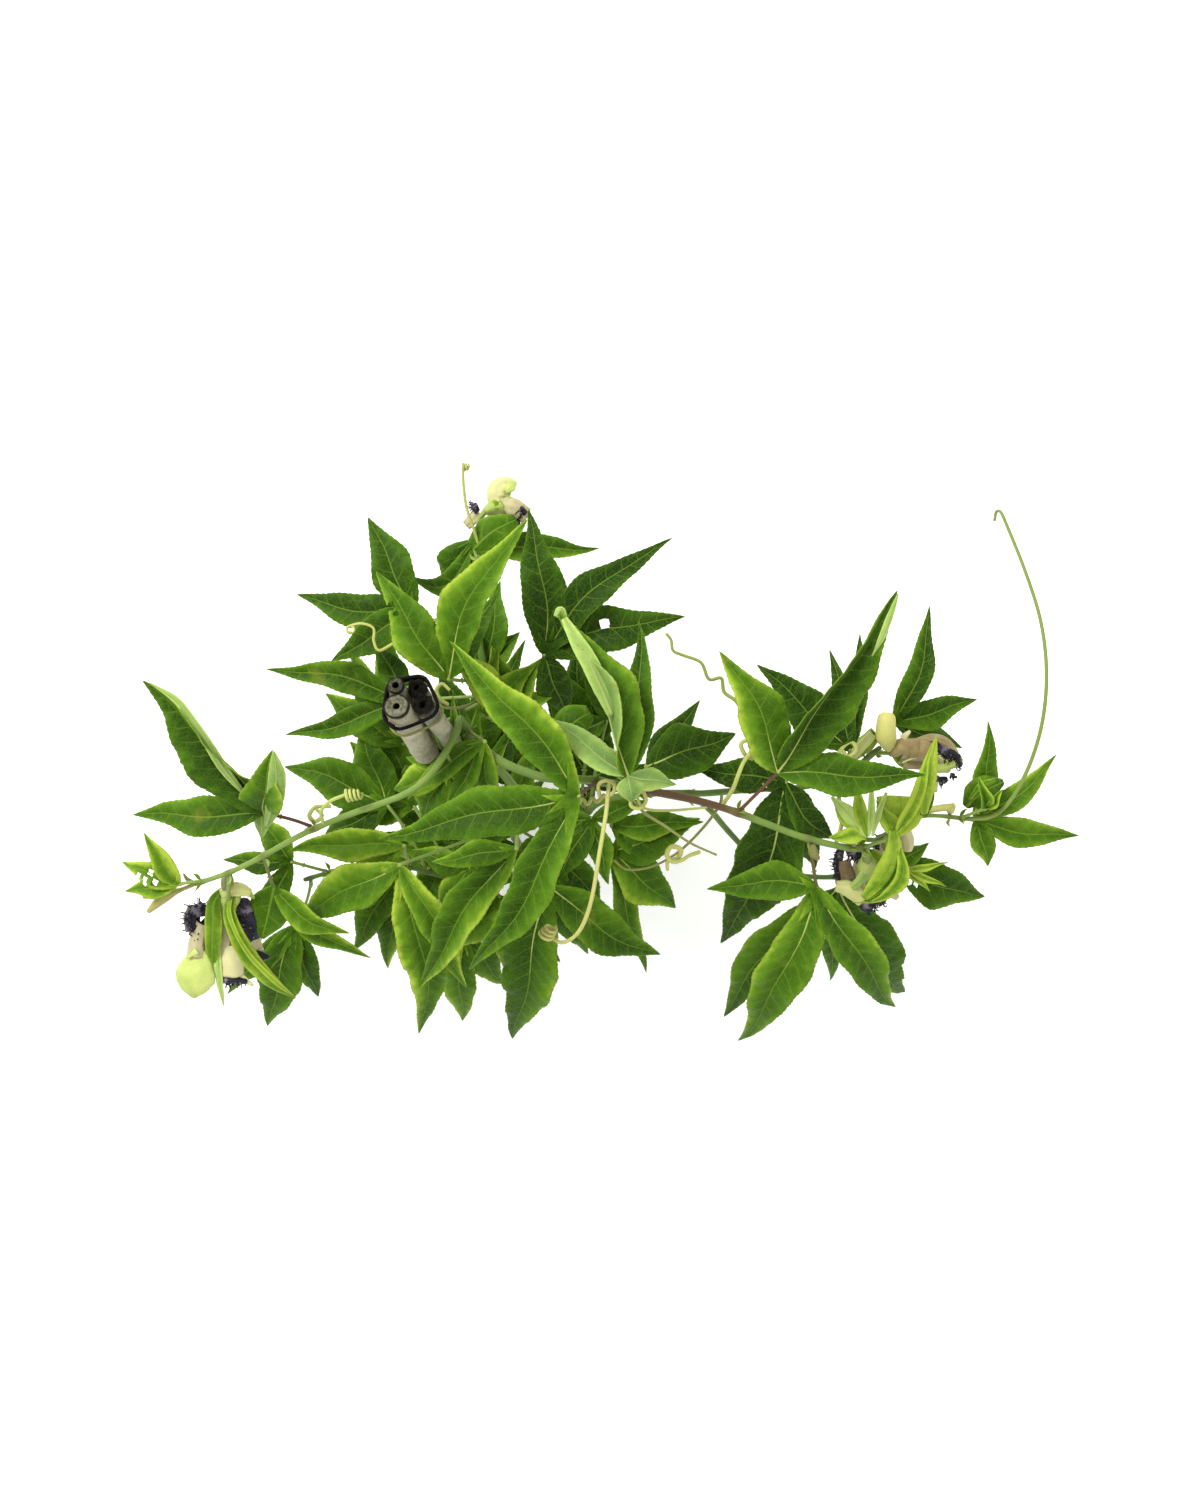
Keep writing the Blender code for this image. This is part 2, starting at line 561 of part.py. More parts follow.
def lobe_surface(foot, tip, half, arch, bow, left, right, roll, up=UP):
    """A function that gives the point of a lobe at (along 0 to 1, across -1 to 1)."""
    chord = tip - foot
    along = chord.normalized()
    side = along.cross(up).normalized()
    lift = side.cross(along)
    turn = math.radians(roll)
    out = side * math.cos(turn) + lift * math.sin(turn)
    top = lift * math.cos(turn) - side * math.sin(turn)

    def point(share, across):
        swell = 4 * share * (1 - share)
        rib = foot + chord * share + lift * (arch * swell) + side * (bow * swell)
        fold = math.radians(left if across < 0 else right) * math.sqrt(swell)
        reach = half * lobe_width(share)
        return rib + out * (across * reach * math.cos(fold)) + top * (
            abs(across) * reach * math.sin(fold)
        )

    return point


def lobe(point, rows=ROWS, thickness=BLADE):
    """A thin closed blade: a two-strip grid laid on the lobe's surface and given its thickness."""
    bm = bmesh.new()
    bmesh.ops.create_grid(bm, x_segments=2, y_segments=len(rows) - 1, size=1.0)
    for vert in bm.verts:
        station = round((vert.co.y + 1) / 2 * (len(rows) - 1))
        vert.co = point(rows[station], vert.co.x) * MM
    bmesh.ops.remove_doubles(bm, verts=bm.verts, dist=0.05 * MM)
    bmesh.ops.triangulate(bm, faces=bm.faces)
    bmesh.ops.recalc_face_normals(bm, faces=bm.faces)
    mesh = bpy.data.meshes.new("lobe")
    bm.to_mesh(mesh)
    bm.free()
    made = bpy.data.objects.new("lobe", mesh)
    bpy.context.scene.collection.objects.link(made)
    wall = made.modifiers.new("thickness", "SOLIDIFY")
    wall.thickness = thickness * MM
    wall.offset = 0.0
    wall.use_even_offset = False
    return applied(made)


def applied(obj):
    """The object with its modifiers made part of its mesh."""
    bpy.context.view_layer.update()
    graph = bpy.context.evaluated_depsgraph_get()
    mesh = bpy.data.meshes.new_from_object(obj.evaluated_get(graph))
    obj.modifiers.clear()
    obj.data = mesh
    return obj


def stalk(stem, near, end, radius, points=3):
    """A stalk that curves from the stem's side to its end."""
    end = Vector(end)
    start, way = seat(stem, near, end, radius)
    reach = (end - start).length
    bend = start + way * reach * 0.4 + UP * reach * 0.05
    path = []
    for i in range(points):
        t = i / (points - 1)
        path.append(start * (1 - t) ** 2 + bend * 2 * t * (1 - t) + end * t * t)
    return tube(path, [radius] * points, sides=4 if radius < 1 else 6)


def make_leaf(name):
    stem, near, hub, lobes = LEAVES[name]
    hub = Vector(hub)
    pieces = [stalk(stem, near, hub, STALK), ball(hub, HUB)]
    for x, y, z, half, arch, bow, left, right, roll in lobes:
        tip = Vector((x, y, z))
        surface = lobe_surface(hub, tip, half, arch, bow, left, right, roll)
        pieces.append(lobe(surface, FEW_ROWS if (tip - hub).length < SHORT else ROWS))
    return keep(joined(pieces), name, "young" if name in YOUNG else "blade")


# ---------------------------------------------------------------- canes and tie
def cane_line(name):
    """Axis of a cane: its middle at the foot plane and at its upper end."""
    angle, away, _, stand = CANES[name]
    top, foot = math.radians(angle), math.radians(angle + FOOT_TWIST)
    upper = BUNDLE_TOP + Vector((math.cos(top), math.sin(top), 0)) * away
    lower = BUNDLE_FOOT + Vector((math.cos(foot), math.sin(foot), 0)) * FOOT_SPREAD
    return lower, upper + (upper - lower).normalized() * stand


def make_cane(name):
    lower, upper = cane_line(name)
    radius = CANES[name][2]
    below = 8.0  # length below the floor that the trim takes off
    axis = (upper - lower).normalized()
    start = lower - axis * below
    length = (upper - start).length
    profile = [(0, length - CANE_BORE_DEPTH), (CANE_BORE, length - CANE_BORE_DEPTH)]
    profile += [(CANE_BORE, length), (radius - 0.4, length), (radius, length - 0.5)]
    for share in sorted(CANE_KNOTS, reverse=True):
        middle = length * share
        profile += [(radius, middle + 2.2), (radius + KNOT_SWELL, middle), (radius, middle - 1.6)]
    profile += [(radius, 0), (0, 0)]
    bm = bmesh.new()
    verts = [bm.verts.new((x * MM, 0, z * MM)) for x, z in profile]
    for a, b in zip(verts, verts[1:]):
        bm.edges.new((a, b))
    mesh = bpy.data.meshes.new(name)
    bm.to_mesh(mesh)
    bm.free()
    made = bpy.data.objects.new(name, mesh)
    made.rotation_mode = "QUATERNION"
    made.rotation_quaternion = axis.to_track_quat("Z", "Y")
    made.location = start * MM
    bpy.context.scene.collection.objects.link(made)
    screw = made.modifiers.new("turn", "SCREW")
    screw.steps = screw.render_steps = CANE_SIDES
    screw.use_merge_vertices = True
    screw.merge_threshold = 0.00005
    trim = made.modifiers.new("sawn foot", "BOOLEAN")
    trim.operation = "DIFFERENCE"
    trim.object = FLOOR_CUTTER
    trim.solver = SOLVER
    return keep(made, name, "cane")


def make_floor_cutter():
    bpy.ops.mesh.primitive_cube_add(size=1)
    cutter = bpy.context.object
    cutter.name = "below_floor"
    cutter.scale = (0.4, 0.4, 0.04)
    cutter.location = (BUNDLE_FOOT.x * MM, BUNDLE_FOOT.y * MM, -0.02)
    cutter.hide_render = True
    cutter.display_type = "WIRE"
    for home in list(cutter.users_collection):
        home.objects.unlink(cutter)
    CUTTERS.objects.link(cutter)
    return cutter


def convex_hull(points):
    """Outline round flat points, anticlockwise."""
    points = sorted(set(points))

    def half(run):
        chain = []
        for p in run:
            while len(chain) > 1:
                (ax, ay), (bx, by) = chain[-2], chain[-1]
                if (bx - ax) * (p[1] - ay) - (by - ay) * (p[0] - ax) > 0:
                    break
                chain.pop()
            chain.append(p)
        return chain[:-1]

    return half(points) + half(points[::-1])


def loop_round_canes(drop, clear, turns, pitch, begin=(0, 0, 0)):
    """A winding path that hugs the bundle, drop below its top, begun at its point nearest begin."""
    axis = (BUNDLE_TOP - BUNDLE_FOOT).normalized()
    flat_x = UP.cross(axis).cross(axis).normalized()
    flat_y = axis.cross(flat_x)
    centre = BUNDLE_TOP - axis * drop
    round_them = []
    for name in CANES:
        lower, upper = cane_line(name)
        way = upper - lower
        spot = lower + way * ((centre - lower).dot(axis) / way.dot(axis)) - centre
        reach = (CANES[name][2] + clear) / math.cos(math.pi / 10)
        for i in range(10):
            angle = math.pi * i / 5
            round_them.append(
                (round(spot.dot(flat_x) + reach * math.cos(angle), 3),
                 round(spot.dot(flat_y) + reach * math.sin(angle), 3))
            )
    hull = convex_hull(round_them)
    ring = [centre + flat_x * x + flat_y * y for x, y in hull]
    first = min(range(len(ring)), key=lambda i: (ring[i] - Vector(begin)).length)
    return [
        ring[(first + i) % len(ring)] + axis * (pitch * (i / len(ring) - turns / 2))
        for i in range(int(turns * len(ring)))
    ]


def make_wire_tie():
    path = loop_round_canes(WIRE_DROP, WIRE_RADIUS + GAP, WIRE_TURNS, WIRE_PITCH)
    return keep(tube(path, [WIRE_RADIUS] * len(path), sides=4), "wire_tie", "wire")


def grip_tendril():
    """The tendril that holds the vine to the canes, from its stem round the bundle."""
    path = loop_round_canes(GRIP_DROP, GRIP_RADIUS + GAP, GRIP_TURNS, 1.9, GRIP_BY)
    path = [nearest(GRIPPING_STEM, GRIP_FROM)[0], Vector(GRIP_BY)] + path
    return tube(path, [GRIP_RADIUS] * len(path), sides=4)


# ---------------------------------------------------------------- blooms
def bloom_frame(facing, turn):
    axis = Vector(facing).normalized()
    first = axis.cross(UP) if abs(axis.z) < 0.95 else axis.cross(Vector((0, 1, 0)))
    first = first.normalized()
    first.rotate(Matrix.Rotation(math.radians(turn), 3, axis))
    return axis, first, axis.cross(first)


def spoke(frame, azimuth):
    _, first, second = frame
    angle = math.radians(azimuth)
    return first * math.cos(angle) + second * math.sin(angle)


def opened(frame, azimuth, angle):
    """Direction that leans away from the bloom's axis by angle, at that azimuth."""
    lean = math.radians(angle)
    return frame[0] * math.cos(lean) + spoke(frame, azimuth) * math.sin(lean)


def petal(root, way, outward, length, half, arch, left, right, thickness=BLADE):
    surface = lobe_surface(root, root + way * length, half, arch, 0, left, right, 0, up=outward)
    return lobe(surface, rows=(0.0, 0.38, 0.78, 1.0), thickness=thickness)


def cup(back, frame):
    """The shallow cup that the tepals grow from."""
    bm = bmesh.new()
    bmesh.ops.create_cone(
        bm, cap_ends=True, segments=8, radius1=CUP_BACK * MM, radius2=CUP_FRONT * MM,
        depth=CUP_DEPTH * MM,
    )
    turn = frame[0].to_track_quat("Z", "Y").to_matrix().to_4x4()
    middle = back + frame[0] * (CUP_DEPTH / 2)
    bmesh.ops.transform(bm, matrix=Matrix.Translation(middle * MM) @ turn, verts=bm.verts)
    mesh = bpy.data.meshes.new("cup")
    bm.to_mesh(mesh)
    bm.free()
    made = bpy.data.objects.new("cup", mesh)
    bpy.context.scene.collection.objects.link(made)
    return made


def make_tepals(name, back, frame, opening, size, chance):
    """Cup, tepals and the column with its ovary, stamens and styles, as one grown piece."""
    axis = frame[0]
    pieces = [cup(back, frame)]
    mouth = back + axis * CUP_DEPTH
    for i in range(TEPALS):
        azimuth = 360 * i / TEPALS
        lean = opening + chance.uniform(-7, 7)
        way = opened(frame, azimuth, lean)
        root = mouth - axis * 1.4 + spoke(frame, azimuth) * (CUP_FRONT - 1.6)
        length = TEPAL_LENGTH * size * chance.uniform(0.9, 1.08)
        pieces.append(
            petal(root, way, spoke(frame, azimuth), length, TEPAL_HALF * size, 5 * size, -22, -22,
                  1.0)
        )
    knot = mouth + axis * COLUMN_LENGTH
    pieces.append(tube([mouth - axis * 2, knot], [COLUMN_RADIUS] * 2, sides=6))
    pieces.append(ball(knot, OVARY))
    for i in range(5 if opening > 40 else 0):
        way = opened(frame, 72 * i + 36, 62)
        pieces.append(tube([knot, knot + way * 6.5], [0.9, 1.3], sides=4))
    return keep(joined(pieces), name + "_tepals", "tepal")


def make_corona(name, back, frame, opening, size, chance):
    """Ring of thread-like filaments that stand out in tufts between the tepals."""
    axis = frame[0]
    middle = back + axis * (CUP_DEPTH + GAP + RING_THICK + 0.2)
    ring = [middle + spoke(frame, 36 * i) * RING_RADIUS for i in range(10)]
    pieces = [tube(ring, [RING_THICK] * len(ring), sides=4, closed=True)]
    for tuft in range(TEPALS):
        count = TUFT_FILAMENTS if opening > 40 else TUFT_FILAMENTS - 1
        for i in range(count):
            offset = TUFT_SPREAD * (2 * i / (count - 1) - 1)
            azimuth = 360 * (tuft + 0.5) / TEPALS + offset
            outward = spoke(frame, azimuth)
            lean = opening + 14 + 8 * (i % 2) if opening > 40 else 0.3 * opening
            way = opened(frame, azimuth, lean + chance.uniform(-3, 3))
            across = way.cross(outward).normalized()
            root = middle + outward * RING_RADIUS
            length = FILAMENT_LENGTH * size * chance.uniform(0.8, 1.05)
            path = [
                root + way * (length * t) + across * (0.9 * math.sin(9 * t + i) * t)
                for t in (0, 0.5, 1.0)
            ]
            pieces.append(tube(path, tapered(3, FILAMENT_RADIUS, 0.75 * FILAMENT_RADIUS), 4))
    return keep(joined(pieces), name + "_corona", "corona")


def make_bracts(name, stem, near, back, frame, opening, size):
    """Footstalk and the three leafy bracts behind the cup."""
    axis = frame[0]
    collar = back - axis * (COLLAR + GAP)
    pieces = [stalk(stem, near, collar, FOOTSTALK), ball(collar, COLLAR)]
    for i in range(BRACTS):
        azimuth = 120 * i + 60
        way = opened(frame, azimuth, min(66, opening + 36))
        tip_length = (27.0, 33.0, 22.0)[i] * size
        outward = spoke(frame, azimuth)
        root = collar + outward * 0.6
        pieces.append(
            petal(root, way, outward, tip_length, 5.2 * size, 5.0 * size, -20, -20)
        )
    return keep(joined(pieces), name + "_bracts", "bract")


def make_bloom(name):
    stem, near, back, facing, opening, size, turn = BLOOMS[name]
    chance = random.Random(name)
    back = Vector(back)
    frame = bloom_frame(facing, turn)
    make_bracts(name, stem, near, back, frame, opening, size)
    make_tepals(name, back, frame, opening, size, chance)
    make_corona(name, back, frame, opening, size, chance)


# ---------------------------------------------------------------- the whole vine
def centre_on_origin():
    """Moves everything sideways so that the middle of the vine's box is over the origin."""
    bpy.context.view_layer.update()
    graph = bpy.context.evaluated_depsgraph_get()
    corners = []
    for obj in PARTS.objects:
        shape = obj.evaluated_get(graph)
        corners += [shape.matrix_world @ vert.co for vert in shape.data.vertices]
    middle = [(min(c[k] for c in corners) + max(c[k] for c in corners)) / 2 for k in (0, 1)]
    for obj in (*PARTS.objects, FLOOR_CUTTER):
        obj.location.x -= middle[0]
        obj.location.y -= middle[1]


clear_scene()
PARTS = new_collection("passion_flower")
CUTTERS = new_collection("cutters")
FLOOR_CUTTER = make_floor_cutter()
for cane in CANES:
    make_cane(cane)
make_wire_tie()
for stem in STEMS:
    make_stem(stem)
for leaf in LEAVES:
    make_leaf(leaf)
for bloom in BLOOMS:
    make_bloom(bloom)
centre_on_origin()
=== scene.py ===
"""Dresses the passion flower vine: leaves, stems, tendrils, blooms and the tied bundle of canes.

The tables are the part's own, in millimetres. PLACE moves them over the middle of the part's
box, and everything is scaled to metres as it is laid down.
"""

import math
import random

import bmesh
import bpy
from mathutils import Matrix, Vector, noise


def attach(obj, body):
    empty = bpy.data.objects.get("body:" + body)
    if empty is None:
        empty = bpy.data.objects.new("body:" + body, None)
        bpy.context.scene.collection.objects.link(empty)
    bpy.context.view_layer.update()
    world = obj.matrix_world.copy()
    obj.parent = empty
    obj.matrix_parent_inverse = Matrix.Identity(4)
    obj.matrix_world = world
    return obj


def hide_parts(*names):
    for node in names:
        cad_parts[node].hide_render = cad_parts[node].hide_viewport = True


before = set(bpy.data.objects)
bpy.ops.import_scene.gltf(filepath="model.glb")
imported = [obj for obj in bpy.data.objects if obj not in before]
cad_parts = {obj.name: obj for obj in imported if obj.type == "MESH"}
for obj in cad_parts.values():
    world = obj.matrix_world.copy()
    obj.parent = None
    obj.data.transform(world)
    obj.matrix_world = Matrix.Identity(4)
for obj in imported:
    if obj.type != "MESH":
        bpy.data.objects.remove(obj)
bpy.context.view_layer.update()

MM = 0.001
UP = Vector((0.0, 0.0, 1.0))
PLACE = Vector((-2.7199, 8.153, 0.0))
GAP = 0.35  # clearance between neighbouring pieces

# ---------------------------------------------------------------- canes and tie
BUNDLE_TOP = Vector((-76.0, 21.0, 184.0))  # middle of the bundle at its upper end
BUNDLE_FOOT = Vector((-57.0, -36.0, 0.0))  # middle of the four feet
FOOT_SPREAD = 12.0  # distance of each foot from the middle
FOOT_TWIST = 25.0  # degrees that the canes turn round each other from top to foot
# name: angle round the bundle, distance from its middle, cane radius, how far it stands up
CANES = {
    "cane_front_left": (217.0, 6.9, 5.2, 2.0),
    "cane_back_left": (141.0, 8.4, 3.5, -1.0),
    "cane_back": (82.0, 6.1, 3.7, -5.5),
    "cane_right": (335.4, 4.2, 4.1, -1.5),
}
CANE_BORE = 1.3  # radius of the hollow seen in the sawn upper end
CANE_BORE_DEPTH = 9.0
CANE_KNOTS = (0.34, 0.76)  # shares of the length where a node ring swells
KNOT_SWELL = 0.45

WIRE_RADIUS = 0.75
WIRE_TURNS = 1.7
WIRE_PITCH = 2.3
WIRE_DROP = 6.5  # below the bundle's top
GRIP_RADIUS = 0.65  # tendril that grips the canes
GRIP_TURNS = 1.25
GRIP_DROP = 15.5

# ---------------------------------------------------------------- stems and tendrils
STEM_SAMPLES = 2  # steps of a stem's axis between two points of its route
TIP_LEFT = 3.0  # length at a stem's tip from which nothing grows
FORK = 3.0  # how far a side stem runs straight out of its fork
STALK_POINTS = 14  # along the path of a leaf's or a bloom's stalk
# name: the stem it branches from (None: it has a cut end), radius at its foot, at its tip, route
STEMS = {
    "stem_left": (None, 2.1, 1.1, [
        (-38.5, -51.5, 0), (-38.5, -51.5, 25), (-44, -36, 70), (-49, -16.5, 105),
        (-55, 2, 128), (-60, 13, 143), (-61, 7.5, 151), (-66, -2, 154),
        (-73.5, -12, 153), (-85, -19.5, 150), (-109, -28, 144), (-129, -36.5, 139),
        (-146.5, -46, 134), (-161.5, -53, 129), (-177.5, -58.5, 123),
    ]),
    "stem_right": (None, 2.4, 1.4, [
        (-18.5, -67, 0), (-18.5, -67, 25), (-24.5, -41, 65), (-37, -20.5, 98),
        (-47.5, -5.5, 119), (-49.5, -1, 134), (-41.5, -5.5, 146), (-24, -11.5, 152),
        (-5, -12.5, 153), (14, -16, 156), (37, -20.5, 151), (57.5, -26.5, 144),
        (85, -37, 134), (107, -42.5, 126), (116.5, -42.5, 122),
    ]),
    "stem_back": (None, 2.1, 1.2, [
        (-28, 7, 0), (-28, 7, 25), (-40, 16, 65), (-49, 24.5, 98),
        (-54, 44.5, 112), (-56.5, 67, 108), (-55, 85.5, 104), (-51.5, 97, 101),
    ]),
    "stem_low_right": ("stem_right", 1.9, 1.2, [
        (-20.5, -51.5, 46), (-13, -38.5, 70), (-1, -23.5, 102), (21, -19, 116),
        (43, -19, 122), (69.5, -17, 120), (87.5, -16.5, 116), (108, -11, 111),
        (124.5, 1, 107),
    ]),
    "stem_right_tip": ("stem_right", 1.2, 0.9, [
        (111, -42, 123), (122, -39.5, 117), (133, -33.5, 114), (142, -29.5, 113),
        (152.5, -29.5, 113), (164.5, -31, 112),
    ]),
    "stem_side": ("stem_low_right", 1.6, 1.1, [
        (38.5, -19.5, 122), (49, -27.5, 112), (67, -46.5, 92), (87.5, -57.5, 80),
        (112, -59.5, 72), (131, -55.5, 70),
    ]),
    "stem_low_left": ("stem_left", 1.8, 1.1, [
        (-38.5, -49, 22), (-49.5, -60.5, 34), (-64.5, -63.5, 44), (-83, -59, 54),
        (-101, -53.5, 64), (-121.5, -56, 68), (-142, -62, 60),
    ]),
}
# stem: list of (where it grows from, thickness, route, coil); a coil is its radius, turns,
# pitch and the direction of its axis, and None ends the tendril plainly
TENDRILS = {
    "stem_right": [
        ((2.5, -15.5, 155), 0.75, [
            (2.5, -17.5, 164), (1.5, -26.5, 170), (-1, -41.5, 171), (-4.5, -62, 167),
            (-9.5, -75, 160), (-16.5, -80.5, 153), (-22, -78, 149),
        ], (3.0, 3, 2.0, (0.5, 0.75, 0.5))),
        ((14, -16.5, 156), 0.6, [
            (14.5, -19.5, 163), (17.5, -24, 164), (27.5, -25, 161), (43.5, -24, 155),
        ], None),
        ((11.5, -16, 156), 0.6, [
            (12, -18.5, 161), (17, -25.5, 161), (26, -31.5, 157), (37, -39, 150),
            (48.5, -44.5, 143),
        ], None),
    ],
    "stem_low_right": [
        ((52.5, -18.5, 121), 0.6, [
            (52, -24, 118), (45.5, -33.5, 116), (34.5, -45, 112), (22.5, -52, 109),
            (11.5, -53.5, 108), (5.5, -49.5, 107),
        ], None),
        ((73, -17, 120), 0.6, [
            (71, -8.5, 124), (65, 6.5, 128), (59, 20, 130), (53, 25, 130),
            (51.5, 31, 132), (46, 30.5, 134), (42.5, 37.5, 136), (35, 40.5, 137),
            (30.5, 42.5, 138), (29.5, 47, 139), (27.5, 49.5, 140),
        ], None),
    ],
    "stem_right_tip": [
        ((162.5, -30.5, 112), 0.6, [
            (171, -29.5, 118), (177.5, -22.5, 126), (184, -6.5, 134), (188, 13, 140),
            (189, 34, 142), (187, 55.5, 140), (181.5, 77, 136), (175.5, 96, 131),
            (173, 103, 129), (171.5, 103.5, 127), (171, 100, 126),
        ], None),
    ],
    "stem_left": [
        ((-119, -30, 141), 0.65, [
            (-118.5, -26, 147), (-114, -21.5, 151), (-107, -18.5, 152),
        ], (2.3, 4, 1.7, (1, 0.1, 0.05))),
    ],
    "stem_back": [
        ((-55.5, 55.5, 110), 0.6, [
            (-65, 52, 116), (-78, 49, 120), (-88.5, 48, 122), (-97, 43.5, 124),
            (-99.5, 47.5, 125), (-99.5, 53, 126), (-104.5, 55, 127), (-109.5, 54, 127),
        ], (1.8, 1.6, 0.6, (0, 0.2, 1))),
        ((-54.5, 88.5, 103), 0.6, [
            (-57, 98, 110), (-60, 107.5, 114), (-61, 117, 118), (-61, 124.5, 121),
        ], (1.5, 2.5, 1.3, (1, 0, 0.1))),
    ],
}
GRIPPING_STEM = "stem_back"
GRIP_FROM = (-51, 25, 101)
GRIP_BY = (-57, 18.5, 150)

# ---------------------------------------------------------------- leaves
STALK = 0.85  # radius of a leaf's stalk
LONG_STALK = 12.0  # a stalk longer than this bears two glands
